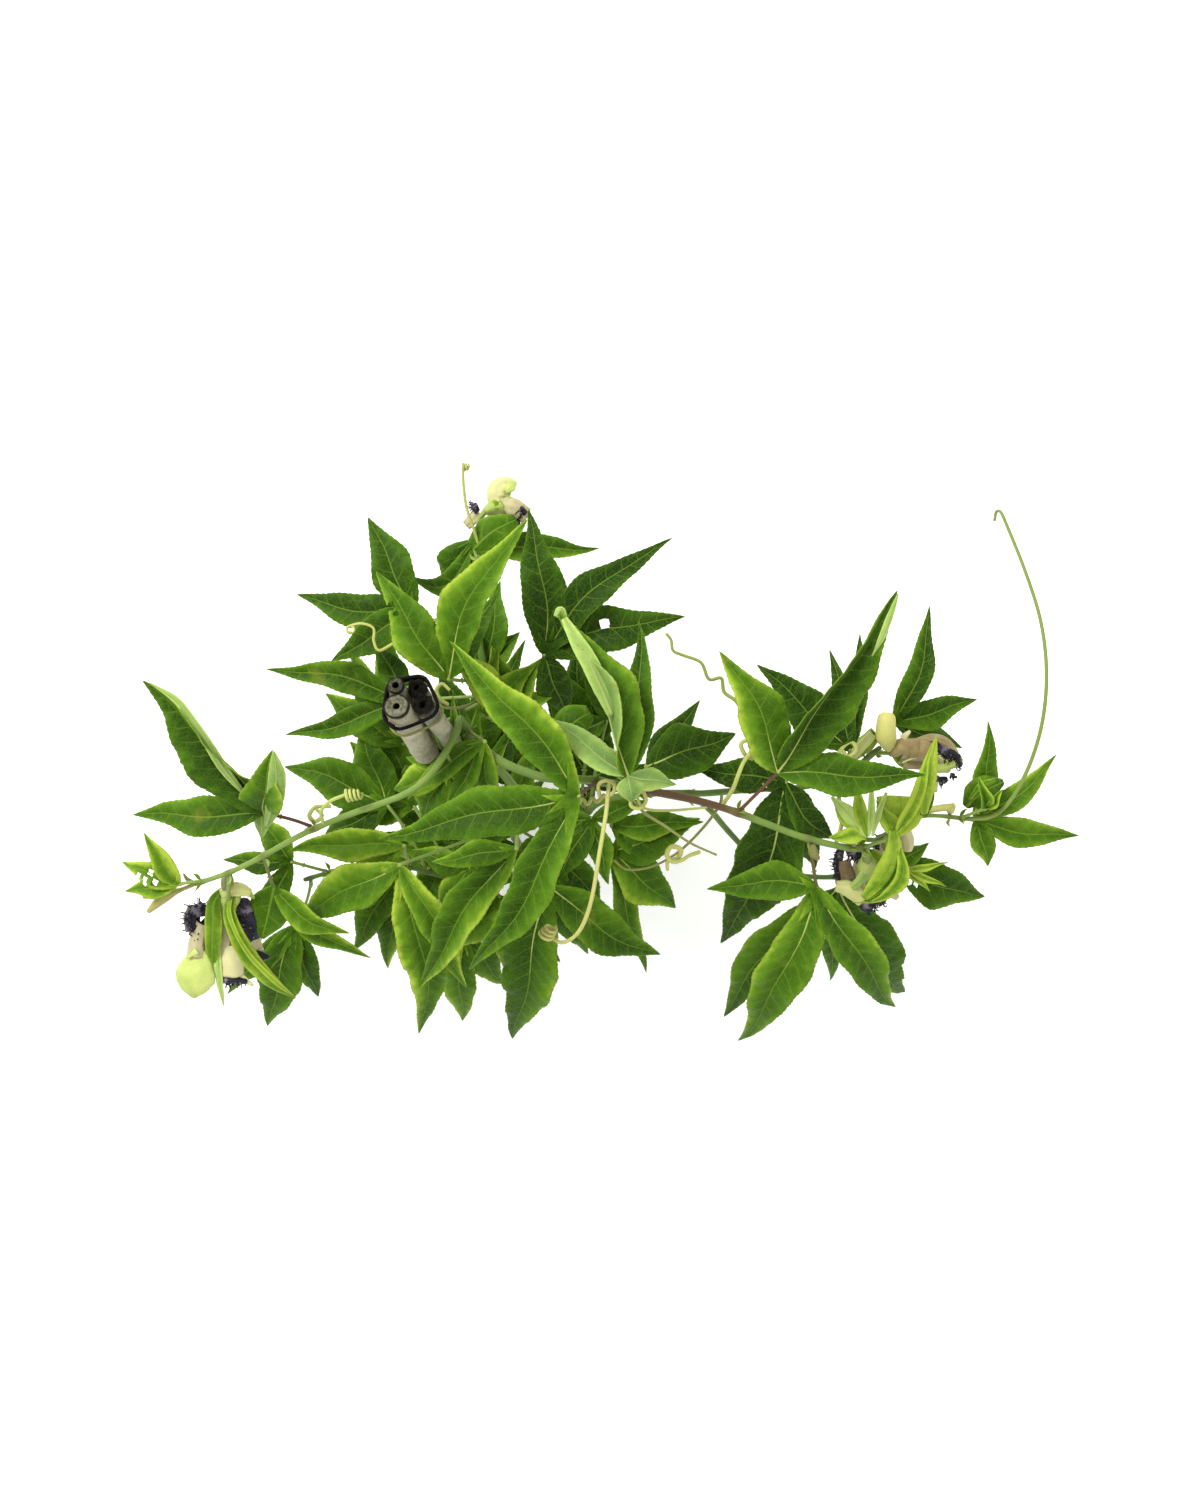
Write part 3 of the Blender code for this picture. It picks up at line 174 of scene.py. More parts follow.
# name: stem, where the stalk leaves it, where the lobes meet, lobes
# each lobe: tip x, y, z, half width, arch, sideways bow, left fold, right fold, roll
LEAVES = {
    "leaf_centre": ("stem_right", (-1.5, -12.5, 152), (-9.5, -18.5, 172), [
        (-61, 43.5, 180, 10, 8, 2, 15, 18, 0),
        (-92, -36.5, 162, 11, 6, 0, 10, 12, 0),
        (-56.5, -93.5, 140, 10.5, 10, -3, 22, 30, 0),
    ]),
    "leaf_folded_top": ("stem_right", (16.5, -16, 156), (10.5, -10.5, 178), [
        (-18, 56.5, 184, 15, 6, 2, 112, 12, 0),
        (15, 53, 162, 6.5, 5, 3, 12, 12, 0),
        (-23.5, 14, 166, 6, 3, 0, 10, 10, 170),
        (30, -14, 174, 5, 2, 0, 10, 10, 175),
        (12, -21, 173, 6, 3, 0, 12, 12, 180),
    ]),
    "leaf_upper_left": ("stem_back", (-51.5, 33.5, 106), (-63.5, 29.5, 158), [
        (-92.5, 73, 166, 10, 6, 0, 10, 12, 0),
        (-30, 93, 176, 11, 8, -5, 12, 32, 0),
        (-45, 68, 136, 6.5, 4, 0, 10, 10, 0),
    ]),
    "leaf_dark_top": ("stem_back", (-47, 14, 88), (-24.5, 40.5, 140), [
        (-31, 101, 150, 10.5, 5, 3, 8, 8, 0),
        (29.5, 89, 150, 8.5, 8, -5, 15, 22, 0),
        (35.5, 57, 138, 10.5, 6, -3, 8, 8, 0),
        (-16, 15, 120, 8, 4, 0, 8, 8, 0),
    ]),
    "leaf_left_shoot": ("stem_left", (-122, -33.5, 140), (-143.5, -27, 142), [
        (-188.5, 28.5, 165, 12.5, 5, 4, 8, 112, 0),
        (-134.5, 0, 168, 8.5, 5, 0, 20, 38, 0),
        (-203, -28, 130, 7.5, 4, 0, 10, 10, 0),
    ]),
    "leaf_right_top": ("stem_right", (57.5, -26.5, 144), (73.5, -9.5, 152), [
        (48, 40.5, 166, 11, 6, 3, 12, 15, 0),
        (119.5, 64.5, 174, 14, 8, 0, 106, 8, 0),
        (135, -10.5, 154, 9, 5, 0, 8, 10, 0),
    ]),
    "leaf_right_front": ("stem_right", (89, -38, 132), (94.5, -60, 118), [
        (46.5, -61.5, 116, 9, 8, 3, 12, 12, 0),
        (65, -138.5, 62, 12.5, 12, -3, 18, 18, 0),
        (138.5, -121, 70, 10, 12, 3, 14, 14, 0),
    ]),
    "leaf_right_back": ("stem_low_right", (110.5, -10.5, 110), (108.5, 0, 122), [
        (67, 37, 130, 10.5, 4, 0, 10, 10, 0),
        (98.5, 43.5, 130, 6, 5, 0, 12, 12, 0),
        (113, 51, 122, 6, 3, 0, 12, 12, 0),
    ]),
    "leaf_dark_right": ("stem_low_right", (75, -16.5, 119), (79.5, -14, 130), [
        (38, -7, 132, 8, 5, 0, 12, 12, 0),
        (55.5, -90, 78, 15.5, 8, -4, 8, 8, 0),
        (96.5, -53.5, 100, 9.5, 4, 0, 8, 8, 0),
        (103.5, -39, 110, 7, 7, 4, 14, 14, 0),
    ]),
    "leaf_right_under": ("stem_side", (110, -57.5, 72), (112, -65.5, 66), [
        (62, -135, 16, 12.5, 12, 6, 12, 12, 0),
        (155.5, -124, 6, 13.5, 12, 4, 10, 10, 0),
        (114.5, -115.5, 24, 6, 6, 0, 10, 10, 0),
    ]),
    "leaf_right_far": ("stem_side", (130, -54.5, 70), (140, -53, 68), [
        (183, -70, 60, 11.5, 6, 3, 10, 10, 0),
        (153.5, -43.5, 74, 5, 2, 0, 10, 10, 0),
        (120.5, -80, 48, 6.5, 4, 0, 10, 10, 0),
    ]),
    "leaf_far_right": ("stem_low_right", (118, -3.5, 109), (134, 12.5, 90), [
        (149, 65.5, 96, 7, 5, 3, 14, 30, 0),
        (173.5, 23.5, 84, 7.5, 3, 0, 12, 14, 0),
        (170, 1, 70, 6, 2, 0, 12, 12, 0),
    ]),
    "leaf_right_tip": ("stem_right_tip", (154.5, -29.5, 113), (167.5, -31.5, 105), [
        (171, 13, 114, 6, 4, 2, 10, 10, 0),
        (202, -2, 112, 6, 4, 2, 10, 10, 0),
        (215, -38.5, 102, 7, 5, 2, 12, 12, 0),
        (174.5, -52.5, 100, 6, 4, 0, 12, 12, 0),
    ]),
    "leaf_right_bud": ("stem_right_tip", (159, -30, 112), (167.5, -25.5, 124), [
        (163, -11.5, 130, 5, 3, 0, 55, 55, 0),
        (174, -17, 128, 3.5, 2, 0, 50, 50, 0),
    ]),
    "leaf_young_bright": ("stem_right", (116.5, -42.5, 122), (127.5, -38, 128), [
        (141, 5.5, 146, 6.5, 4, 0, 35, 20, 0),
        (112.5, -68.5, 104, 6.5, 4, -12, 15, 15, 0),
        (119.5, -22, 126, 7.5, 3, 0, 12, 12, 0),
    ]),
    "leaf_young_pale": ("stem_right", (108, -42.5, 126), (113.5, -36.5, 130), [
        (101, -21.5, 120, 8, 3, 0, 12, 12, 0),
        (99.5, -38.5, 129, 6.5, 3, 0, 12, 12, 0),
        (112, -21.5, 119, 4.5, 3, 0, 12, 12, 0),
    ]),
    "leaf_tiny": ("stem_right_tip", (124, -39.5, 120), (135.5, -53.5, 110), [
        (154, -50, 112, 2.5, 2, 0, 14, 14, 0),
        (154, -61, 108, 2.5, 2, 0, 14, 14, 0),
        (147.5, -63.5, 104, 2, 2, 0, 14, 14, 0),
    ]),
    "leaf_left_hanging": ("stem_left", (-145.5, -45.5, 134), (-147, -61.5, 108), [
        (-114.5, -83, 98, 6.5, 6, 3, 28, 14, 0),
        (-107, -96, 84, 5.5, 5, 3, 14, 14, 0),
    ]),
    "leaf_left_tip": ("stem_left", (-177.5, -58.5, 123), (-184, -58.5, 126), [
        (-197, -35.5, 134, 5, 3, 0, 28, 28, 0),
        (-209, -48.5, 126, 5, 3, 0, 12, 12, 0),
        (-209.5, -62, 120, 4, 3, 0, 12, 12, 0),
    ]),
    "leaf_low_centre_left": ("stem_left", (-63, -37.5, 70), (-89.5, -51, 113), [
        (-140, -76.5, 90, 11, 6, 0, 10, 10, 0),
        (-87.5, -135.5, 60, 10.5, 10, -7, 16, 16, 0),
        (-62.5, -109.5, 86, 8, 8, -2, 22, 16, 0),
    ]),
    "leaf_low_centre": ("stem_right", (-24.5, -26, 106), (-37, -42.5, 132), [
        (-83.5, -109, 90, 10.5, 8, 2, 34, 20, 0),
        (-74.5, -49, 122, 6, 4, 0, 10, 10, 0),
    ]),
    "leaf_front_centre": ("stem_right", (-22.5, -36.5, 80), (-24, -61, 104), [
        (27, -94.5, 84, 11, 8, 3, 12, 12, 0),
        (-43.5, -140.5, 46, 14, 10, 0, 14, 14, 0),
        (-6.5, -96, 70, 7, 4, 0, 10, 10, 0),
    ]),
    "leaf_mid_right": ("stem_low_right", (-1, -32.5, 66), (4.5, -46.5, 92), [
        (44.5, -31, 98, 11, 5, 0, 10, 10, 0),
        (34.5, -74, 74, 11, 6, 0, 10, 10, 0),
        (21.5, -107.5, 52, 6, 5, 0, 12, 12, 0),
    ]),
    "leaf_round": ("stem_low_right", (21, -19, 118), (19, -7, 138), [
        (57.5, 7, 134, 12, 6, 0, 8, 8, 0),
        (42.5, 21.5, 128, 6, 3, 0, 8, 8, 0),
    ]),
    "leaf_dark_mid": ("stem_low_right", (2, -26, 88), (2, 13.5, 110), [
        (19.5, 34, 112, 6.5, 3, 0, 10, 10, 0),
        (-4.5, 48.5, 116, 7, 3, 0, 10, 10, 0),
        (-19, 4.5, 100, 6.5, 3, 0, 10, 10, 0),
    ]),
    "leaf_back_upper": ("stem_back", (-55, 49, 112), (-83.5, 61.5, 112), [
        (-137, 70, 104, 8.5, 5, -3, 10, 10, 0),
        (-104.5, 104, 108, 10, 5, 0, 10, 10, 0),
        (-121, 39.5, 108, 8.5, 4, 0, 10, 10, 0),
    ]),
    "leaf_back_left": ("stem_back", (-50, 22.5, 100), (-88, 22.5, 98), [
        (-153.5, 37, 92, 7.5, 5, 3, 14, 14, 0),
        (-146.5, 7, 84, 6.5, 5, -2, 12, 12, 0),
        (-104, 50.5, 92, 6.5, 3, 0, 10, 10, 0),
    ]),
    "leaf_back_low": ("stem_low_left", (-86, -54.5, 50), (-101.5, -26.5, 66), [
        (-152, -8, 58, 11.5, 5, 3, 10, 10, 0),
        (-134, -41, 50, 9, 4, 0, 10, 10, 0),
        (-115.5, 12.5, 60, 10, 4, 0, 10, 10, 0),
    ]),
    "leaf_back_top": ("stem_back", (-55, 85.5, 104), (-58, 95.5, 97), [
        (-91.5, 82.5, 86, 6, 6, -14, 12, 12, 0),
        (-67, 68.5, 82, 11, 4, 3, 10, 10, 0),
        (-1, 93.5, 84, 7, 4, 3, 10, 10, 0),
    ]),
    "leaf_low_left_front": ("stem_low_left", (-139, -61, 62), (-150.5, -86, 38), [
        (-172, -142, 3, 12, 6, 0, 10, 10, 0),
        (-145, -126, 8, 8, 5, 0, 10, 10, 0),
        (-191, -124.5, 10, 6.5, 4, 0, 10, 10, 0),
    ]),
    "leaf_low_left_side": ("stem_low_left", (-129, -58, 66), (-145.5, -52.5, 74), [
        (-179.5, -52, 66, 5.5, 4, 0, 10, 10, 0),
        (-160.5, -30.5, 70, 7.5, 4, 0, 10, 10, 0),
        (-164.5, -90, 52, 7, 4, 0, 10, 10, 0),
    ]),
    "leaf_low_front": ("stem_low_left", (-60, -63.5, 42), (-68, -90, 46), [
        (-71.5, -139, 5, 9, 6, 0, 10, 10, 0),
        (-86, -123, 16, 7, 4, 0, 10, 10, 0),
        (-48.5, -119, 16, 7.5, 4, 0, 10, 10, 0),
    ]),
    "leaf_pale_left": ("stem_low_left", (-92, -52.5, 58), (-90.5, -44, 92), [
        (-145, -47, 86, 8, 4, 3, 12, 12, 0),
        (-127.5, -70.5, 74, 6.5, 4, 0, 12, 12, 0),
    ]),
    "leaf_stem_folded": ("stem_left", (-56.5, 4.5, 140), (-49.5, 3.5, 148), [
        (-82.5, -21, 143, 5.5, 2, 2, 12, 12, 0),
        (-67, -26.5, 134, 5, 3, 0, 12, 12, 0),
        (-48.5, -24.5, 128, 5.5, 4, 0, 12, 12, 0),
    ]),
    "leaf_mid_top": ("stem_back", (-48, 12, 88), (-51.5, 15.5, 126), [
        (-28, 37, 140, 8, 4, 0, 12, 12, 0),
        (-44.5, 44, 136, 5.5, 4, 0, 12, 12, 0),
    ]),
}
# leaves of the crowded middle, on stalks from the same stems: stem, where the stalk leaves it,
# where the lobes meet, then each lobe: tip x, y, z, half width, arch, fold of both halves
CROWD_ROWS = {
    "extra_deep_top": (
        "stem_back", (-56.5, -17.5, 44), (-60.0, -7.0, 52),
        (-78.5, 41.5, 50, 10, 5, 12), (-53.5, 44.5, 50, 9.5, 5, 12), (-26, 29, 48, 9.5, 5, 12),
        (-92.5, 16.5, 48, 9, 5, 12), (-37, 53.5, 50, 8, 5, 12), (-20.5, -8.5, 48, 9.5, 5, 12)),
    "extra_deep_low": (
        "stem_low_left", (-68.5, -49.5, 34), (-76.0, -47.0, 46),
        (-102.5, -27.5, 44, 9, 5, 12), (-103, -55, 42, 8, 5, 12), (-87.5, -80.5, 40, 9.5, 5, 12),
        (-58, -72.5, 40, 9, 5, 12), (-40, -47, 44, 10, 5, 12), (-64.5, -20.5, 46, 8.5, 5, 12),
        (-26.5, -28.5, 46, 9, 5, 12), (-115.5, -43, 44, 7.5, 5, 12)),
    # a deep green leaf put behind the canes as painted shade where the middle lies in shadow
    "extra_behind_canes": (
        "stem_back", (-52.5, 2.0, 60), (-53.5, -16.5, 86),
        (-84, 23, 92, 8, 4, 12), (-68.5, 27.5, 92, 7, 4, 12), (-82, 1, 88, 8, 4, 12),
        (-37.5, 14, 88, 6, 4, 12)),
    "extra_ragged": (
        "stem_back", (-48.0, 9.0, 88), (-41.5, 18.0, 130),
        (-64, 43.5, 140, 8, 4, 10), (-47.5, 45, 134, 7.5, 3, 12), (-25.5, 39.5, 138, 6.5, 3, 12),
        (-20, 24, 132, 5.5, 3, 12)),
    "extra_by_canes": (
        "stem_left", (-55.5, -7.5, 150), (-58.5, -17.5, 122),
        (-64.5, 23.5, 132, 5, 4, 24), (-53, 20, 128, 5.5, 4, 20), (-74, 2.5, 120, 4.5, 4, 16),
        (-42, 2.5, 122, 6, 4, 12)),
    "extra_mid_low": (
        "stem_low_left", (-59.5, -61.5, 44), (-62.0, -55.5, 74),
        (-89.5, -47, 70, 6.5, 4, 12), (-77, -73, 66, 7, 4, 12), (-48, -39.5, 72, 7, 4, 12),
        (-37, -60.5, 68, 6.5, 4, 12), (-55.5, -78.5, 60, 7, 4, 12)),
    # a deep green leaf put under the hub as painted shade where the middle lies in shadow
    "extra_under_hub": (
        "stem_low_right", (-5.5, -31.5, 80), (-3.5, -17.5, 78),
        (-27, 28.5, 86, 8.5, 4, 12), (2, 21, 86, 7, 4, 12), (22.5, -6.5, 80, 6, 4, 12),
        (-23.5, -37.5, 72, 7, 4, 12)),
    "extra_hub_right": (
        "stem_right", (-5.5, -27.5, 110), (-4.5, -31.0, 100),
        (-21, -59.5, 92, 7.5, 4, 12), (3, -61.5, 90, 6, 4, 12), (21, -22.5, 100, 5, 4, 12),
        (-26.5, -35, 92, 6.5, 4, 12)),
    "extra_under_top": (
        "stem_back", (-52.5, 40.0, 110), (-52.0, 37.0, 104),
        (-45.5, 76, 106, 7.5, 4, 10), (-66.5, 50, 100, 6.5, 3, 12), (-37, 53, 104, 6, 3, 12)),
    "extra_mid_dark": (
        "stem_low_right", (-5.5, -31.5, 80), (-6.5, 1.0, 98),
        (-25.5, 44, 102, 9.5, 5, 10), (-12.5, 51.5, 100, 8, 4, 10), (8, 37, 100, 8.5, 4, 10)),
    "extra_left_high": (
        "stem_back", (-50.0, 24.5, 98), (-94.0, 3.0, 66),
        (-132, 27, 60, 10.5, 5, 10), (-120, 48.5, 64, 9.5, 5, 10),
        (-105.5, 65.5, 66, 8.5, 4, 10)),
    "extra_left_mid": (
        "stem_low_left", (-71.5, -61.0, 48), (-90.0, -27.0, 58),
        (-122, 4, 50, 10.5, 5, 10), (-105, 22, 54, 10, 5, 10), (-85.5, 6.5, 56, 8.5, 4, 10),
        (-127.5, -27, 48, 9, 4, 10)),
    "extra_over_canes": (
        "stem_left", (-66.0, -2.0, 154), (-66.5, -8.5, 132),
        (-85, -3, 128, 4, 3, 16), (-91.5, -17.5, 118, 7.5, 4, 12), (-80.5, -31, 110, 7.5, 4, 12),
        (-61, -31.5, 108, 6.5, 4, 12)),
    "extra_low_left": (
        "stem_low_left", (-92.0, -55.5, 58), (-94.5, -57.5, 84),
        (-117.5, -95, 66, 8, 5, 12), (-102.5, -104.5, 58, 8, 5, 12), (-129, -77, 72, 6.5, 4, 12),
        (-76.5, -98, 62, 8.5, 5, 12)),
    "extra_low_mid": (
        "stem_right", (-22.0, -48.0, 60), (-21.5, -45.5, 78),
        (0, -76, 58, 8.5, 4, 12), (-27, -76.5, 60, 8.5, 4, 12), (-41.5, -50, 68, 7.5, 4, 12),
        (-4, -38.5, 72, 6.5, 4, 12)),
    "extra_right_mid": (
        "stem_low_right", (2.0, -22.5, 104), (4.5, -34.5, 96),
        (46, -32.5, 100, 7, 4, 12), (26.5, -49.5, 88, 6, 4, 12)),
    "extra_front_low": (
        "stem_low_left", (-55.0, -62.0, 40), (-49.0, -70.0, 60),
        (-20.5, -104, 40, 9.5, 5, 12), (-40.5, -118, 34, 9, 5, 12), (-74.5, -97.5, 44, 9, 5, 12)),
    "extra_centre_low": (
        "stem_right", (-22.0, -46.0, 60), (-45.0, -28.5, 84),
        (-70.5, -18.5, 80, 8, 4, 12), (-62, -47, 72, 8.5, 4, 12), (-26.5, -14, 84, 7, 4, 12),
        (-28.5, 4.5, 86, 6.5, 4, 12)),
}
CROWD = {
    name: (stem, near, hub, [(*lobe[:5], 0, lobe[5], lobe[5], 0) for lobe in lobes])
    for name, (stem, near, hub, *lobes) in CROWD_ROWS.items()
}
# tone of each leaf, from 0, deep green, to 1, fresh yellow-green
TONES = {
    "leaf_centre": 0.46, "leaf_folded_top": 0.5, "leaf_upper_left": 0.5, "leaf_dark_top": 0.06,
    "leaf_left_shoot": 0.42, "leaf_right_top": 0.4, "leaf_right_front": 0.48,
    "leaf_right_back": 0.16, "leaf_dark_right": 0.06, "leaf_right_under": 0.34,
    "leaf_right_far": 0.32, "leaf_far_right": 0.26, "leaf_right_tip": 0.5, "leaf_right_bud": 0.66,
    "leaf_young_bright": 0.88, "leaf_young_pale": 0.86, "leaf_tiny": 0.9,
    "leaf_left_hanging": 0.62, "leaf_left_tip": 0.74, "leaf_low_centre_left": 0.58,
    "leaf_low_centre": 0.5, "leaf_front_centre": 0.42, "leaf_mid_right": 0.5, "leaf_round": 0.16,
    "leaf_dark_mid": 0.2, "leaf_back_upper": 0.3, "leaf_back_left": 0.34, "leaf_back_low": 0.36,
    "leaf_back_top": 0.4, "leaf_low_left_front": 0.34, "leaf_low_left_side": 0.42,
    "leaf_low_front": 0.54, "leaf_pale_left": 0.62, "leaf_stem_folded": 0.54,
    "leaf_mid_top": 0.58, "extra_deep_top": 0.3, "extra_deep_low": 0.42,
    # extra_behind_canes and extra_under_hub are this deep green as painted shade of the crowded
    # middle
    "extra_behind_canes": 0.12, "extra_ragged": 0.72, "extra_by_canes": 0.6,
    "extra_mid_low": 0.56, "extra_under_hub": 0.1, "extra_hub_right": 0.4,
    "extra_under_top": 0.45, "extra_mid_dark": 0.2, "extra_left_high": 0.45,
    "extra_left_mid": 0.45, "extra_over_canes": 0.55, "extra_low_left": 0.52,
    "extra_low_mid": 0.36, "extra_right_mid": 0.45, "extra_front_low": 0.52,
    "extra_centre_low": 0.45,
}
# blades drawn slimmer or broader than their solids: share of the half width in the table
BREADTH = {"leaf_young_pale": 0.6, "leaf_young_bright": 0.55, "leaf_tiny": 0.75,
           "leaf_left_tip": 1.15, "leaf_left_shoot": 1.2}
# share of its solid's folding that a leaf's fine blade keeps
EASED = {"leaf_left_shoot": 0.72, "leaf_right_top": 0.72}
# how much lighter or darker each lobe is than its leaf
LOBE_TONES = {
    "leaf_centre": (0.07, -0.16, -0.06), "leaf_right_top": (0.2, -0.06, -0.06),
    "leaf_upper_left": (-0.04, 0.06, -0.1), "leaf_left_shoot": (-0.08, 0.1, 0.0),
    "leaf_right_front": (0.0, 0.04, -0.04), "leaf_front_centre": (0.0, -0.04, 0.06),
    "leaf_folded_top": (0.0, -0.24, 0.0, 0.0, 0.0),
}
# folds and flaps of blades: tone, side that shows, bulge, then spots: x, y, z, half width
FOLDS = {
    "leaf_young_pale": (
        (0.94, 0, 0.4, (114, -38, 132, 0.6), (107, -36.5, 131, 2.6), (98.5, -38, 128, 0.2)),
        (0.98, 1, 0.4, (114, -38, 132, 0.6), (107.5, -28.5, 130, 3.5), (100, -20.5, 126, 0.4)),
        (0.86, 0, 0.4, (114.5, -37.5, 132, 0.6), (112, -28, 131, 3), (111, -17.5, 127, 1.3)),
        (0.98, 1, 0.3, (115, -37, 133, 0.4), (116.5, -28, 131, 1.5), (117, -16.5, 128, 0.9)),
        (0.9, 1, 0.3, (116.5, -37, 133, 0.4), (119.5, -28, 131, 1.3), (123.5, -18.5, 128, 0.6)),
    ),
    "leaf_young_bright": (
        (0.99, 0, 0.35, (139, -27.5, 133, 1.3), (138, -18, 139, 3.9), (139.5, -7, 143, 3),
         (141, 5.5, 147, 0.2)),
        (0.5, 0, 0.3, (139, -28.5, 131, 1.7), (141.5, -20.5, 133, 1.7), (141.5, -11, 135, 0.2)),
        (0.9, 0, 0.25, (127.5, -37, 130, 1.7), (129.5, -29.5, 129, 8.7), (130, -20.5, 125, 10.4)),
        (0.93, 0, 0.5, (126, -34.5, 131, 1.7), (127, -43.5, 127, 3.5), (125, -54.5, 119, 5.2),
         (117, -66, 110, 1.7)),
        (0.5, 0, 0.4, (129, -41.5, 128, 0.7), (130, -50, 124, 1.7), (126, -60, 117, 2.2),
         (118.5, -67, 110, 0.9)),
    ),
    "leaf_left_hanging": (
        (0.5, 0, 0.3, (-146, -60.5, 110, 1.3), (-148, -68, 107, 8.9), (-150.5, -76.5, 104, 7.6),
         (-153.5, -85, 101, 0.9)),
    ),
    "leaf_right_top": (
        (0.72, 1, 0.3, (109, 38, 175, 0.1), (113, 46, 176, 1.2), (116.5, 55, 176, 1.2),
         (119.5, 63, 175, 0.2)),
    ),
    "leaf_right_bud": (
        (0.45, 0, 0.7, (161.5, -25, 114, 1.8), (165, -20, 118, 5.8), (170.5, -16.5, 119, 5.8),
         (177, -14, 117, 1.3)),
        (0.62, 0, 0.5, (162, -22, 119, 0.7), (166.5, -16, 122, 1.8), (173, -13, 120, 0.7)),
    ),
    "leaf_left_shoot": (
        (0.7, 1, 0.3, (-149, -19, 153, 0.5), (-155.5, -9, 160, 1.9), (-161, 1, 164, 1.9),
         (-166.5, 10.5, 167, 1.5), (-174, 20.5, 168, 1.3), (-185, 27.5, 167, 0.2)),
        (0.5, 1, 0.3, (-143, -33, 142, 0.9), (-137.5, -23.5, 154, 3.4), (-133.5, -13, 165, 3.8),
         (-133, -6.5, 169, 2.6), (-133.5, -0.5, 171, 0.3)),
        (0.62, 1, 0.3, (-144.5, -26, 142, 3), (-145.5, -31.5, 138, 3.4), (-146.5, -38, 134, 0.3)),
    ),
    "leaf_back_top": (
        (0.5, 0, 0.3, (-57.5, 90.5, 105, 4.5), (-49, 97.5, 108, 7.6), (-38.5, 103.5, 105, 2.7)),
    ),
    "leaf_folded_top": (
        (0.8, 1, 0.4, (10.5, -10.5, 175, 3.2), (3, -3, 172, 3.6), (-7, 1, 168, 2.4),
         (-14.5, 2.5, 166, 1.6)),
        (0.5, 0, 0.3, (-17.5, 3.5, 160, 5.8), (-11.5, 11.5, 162, 7.4), (-5, 15.5, 160, 3.3)),
        (0.74, 1, 0.3, (4, 13.5, 191, 1.6), (0, 23.5, 192, 3.1), (-4.5, 33.5, 193, 3.5),
         (-10, 43, 192, 2.8), (-15, 52, 188, 1.2)),
        (0.7, 1, 0.5, (-18.5, 53, 185, 0.8), (-16.5, 55.5, 184, 1.6), (-14.5, 51, 182, 0.8)),
    ),
}
# dried buds, scales and small coils: stem, tone, brown, then spots: x, y, z, radius
KNOTS = (
    ("stem_side", 0.95, 0.05, (43, -45, 118, 0.9), (38.5, -46.5, 119, 0.9), (35, -48.5, 120, 0.9),
     (31, -49, 120, 1.1), (28.5, -46, 121, 1.1), (30.5, -42.5, 121, 1.1), (34.5, -43.5, 120, 1.1),
     (33.5, -47.5, 118, 1.1), (29, -49.5, 118, 0.9), (29, -53, 117, 0.7)),
    ("stem_right", 0.9, 0.1, (51, -24, 140, 0.9), (55, -17, 146, 0.9), (57, -11, 150, 0.9),
     (59.5, -5, 150, 0.9), (63, 0, 149, 1), (61.5, 4, 149, 0.9), (58.5, 2.5, 149, 0.9),
     (60, -1.5, 148, 0.9), (63.5, -4, 146, 0.7)),
    ("stem_right", 0.88, 0.1, (101.5, -41, 128, 0.9), (104.5, -30.5, 126, 0.9),
     (103, -17.5, 124, 0.9), (102, -6, 124, 0.9), (105, 1, 124, 1), (109, 3.5, 124, 1),
     (111, 0, 124, 1), (107.5, -3, 124, 1), (105, 0, 124, 0.7)),
    ("stem_left", 0.86, 0.1, (-118, -24.5, 128, 0.9), (-121.5, -24.5, 129, 0.9),
     (-124.5, -25, 130, 0.9), (-126.5, -28.5, 131, 1), (-124, -31, 131, 1),
     (-121, -28.5, 131, 0.9), (-123.5, -25.5, 131, 0.7)),
    ("stem_back", 0.88, 0.1, (-64.5, 19, 152, 0.8), (-67.5, 21, 154, 0.9), (-69, 25, 155, 0.9),
     (-66.5, 27.5, 156, 0.8), (-63.5, 25, 156, 0.7)),
    ("stem_right_tip", 0.98, 0.05, (142.5, -27.5, 112, 1.6), (148.5, -26, 112, 1.6),
     (153.5, -25.5, 112, 1.8), (155.5, -26, 112, 2.9)),
    ("stem_left", 0.95, 0.25, (-177.5, -58.5, 123, 0.9), (-185, -61.5, 122, 1.1),
     (-190.5, -63.5, 121, 2.6), (-195, -67, 120, 2.2), (-199.5, -71, 119, 1.1)),
    ("stem_left", 0.98, 0.22, (-189.5, -62.5, 122, 1.8), (-194.5, -63.5, 122, 1.8),
     (-201, -64.5, 121, 0.9)),
    ("stem_left", 0.9, 0.35, (-177.5, -58.5, 123, 0.7), (-181, -56.5, 124, 0.9),
     (-182.5, -54, 125, 0.4)),
    ("stem_right", 0.9, 0.45, (132.5, -52.5, 112, 1.3), (134.5, -53, 112, 2.2),
     (137, -53, 111, 1.3)),
    ("stem_right", 0.85, 0.5, (90.5, -41.5, 133, 1.7), (91.5, -44.5, 131, 2.2),
     (93.5, -47, 129, 1.3)),
    ("stem_right", 0.92, 0.1, (12.5, -16.5, 163, 0.8), (16.5, -17, 165, 0.8), (18, -21, 165, 0.8),
     (15.5, -24, 164, 0.8), (12, -23, 163, 0.8), (12, -19, 162, 0.7)),
    ("stem_right", 0.92, 0.12, (-1, -19, 163, 0.8), (-1.5, -14.5, 166, 0.8),
     (1.5, -12.5, 168, 0.8), (5, -14, 168, 0.8), (4.5, -17.5, 166, 0.8), (1.5, -19.5, 164, 0.7)),
    ("stem_right", 0.9, 0.2, (1, -18.5, 158, 0.8), (-2, -21.5, 158, 0.8), (-4, -20, 158, 0.8),
     (-6, -22.5, 157, 0.8), (-8, -20.5, 157, 0.8), (-10, -22.5, 156, 0.8),
     (-11.5, -20.5, 156, 0.6)),
)
USUAL_RED = 0.08  # how reddened a leaf's stalk is, apart from those named next
RED_STALKS = {"leaf_centre": 0.8, "leaf_right_top": 0.9, "leaf_left_shoot": 0.75,
              "leaf_right_front": 0.6, "leaf_folded_top": 0.35, "leaf_left_hanging": 0.3}
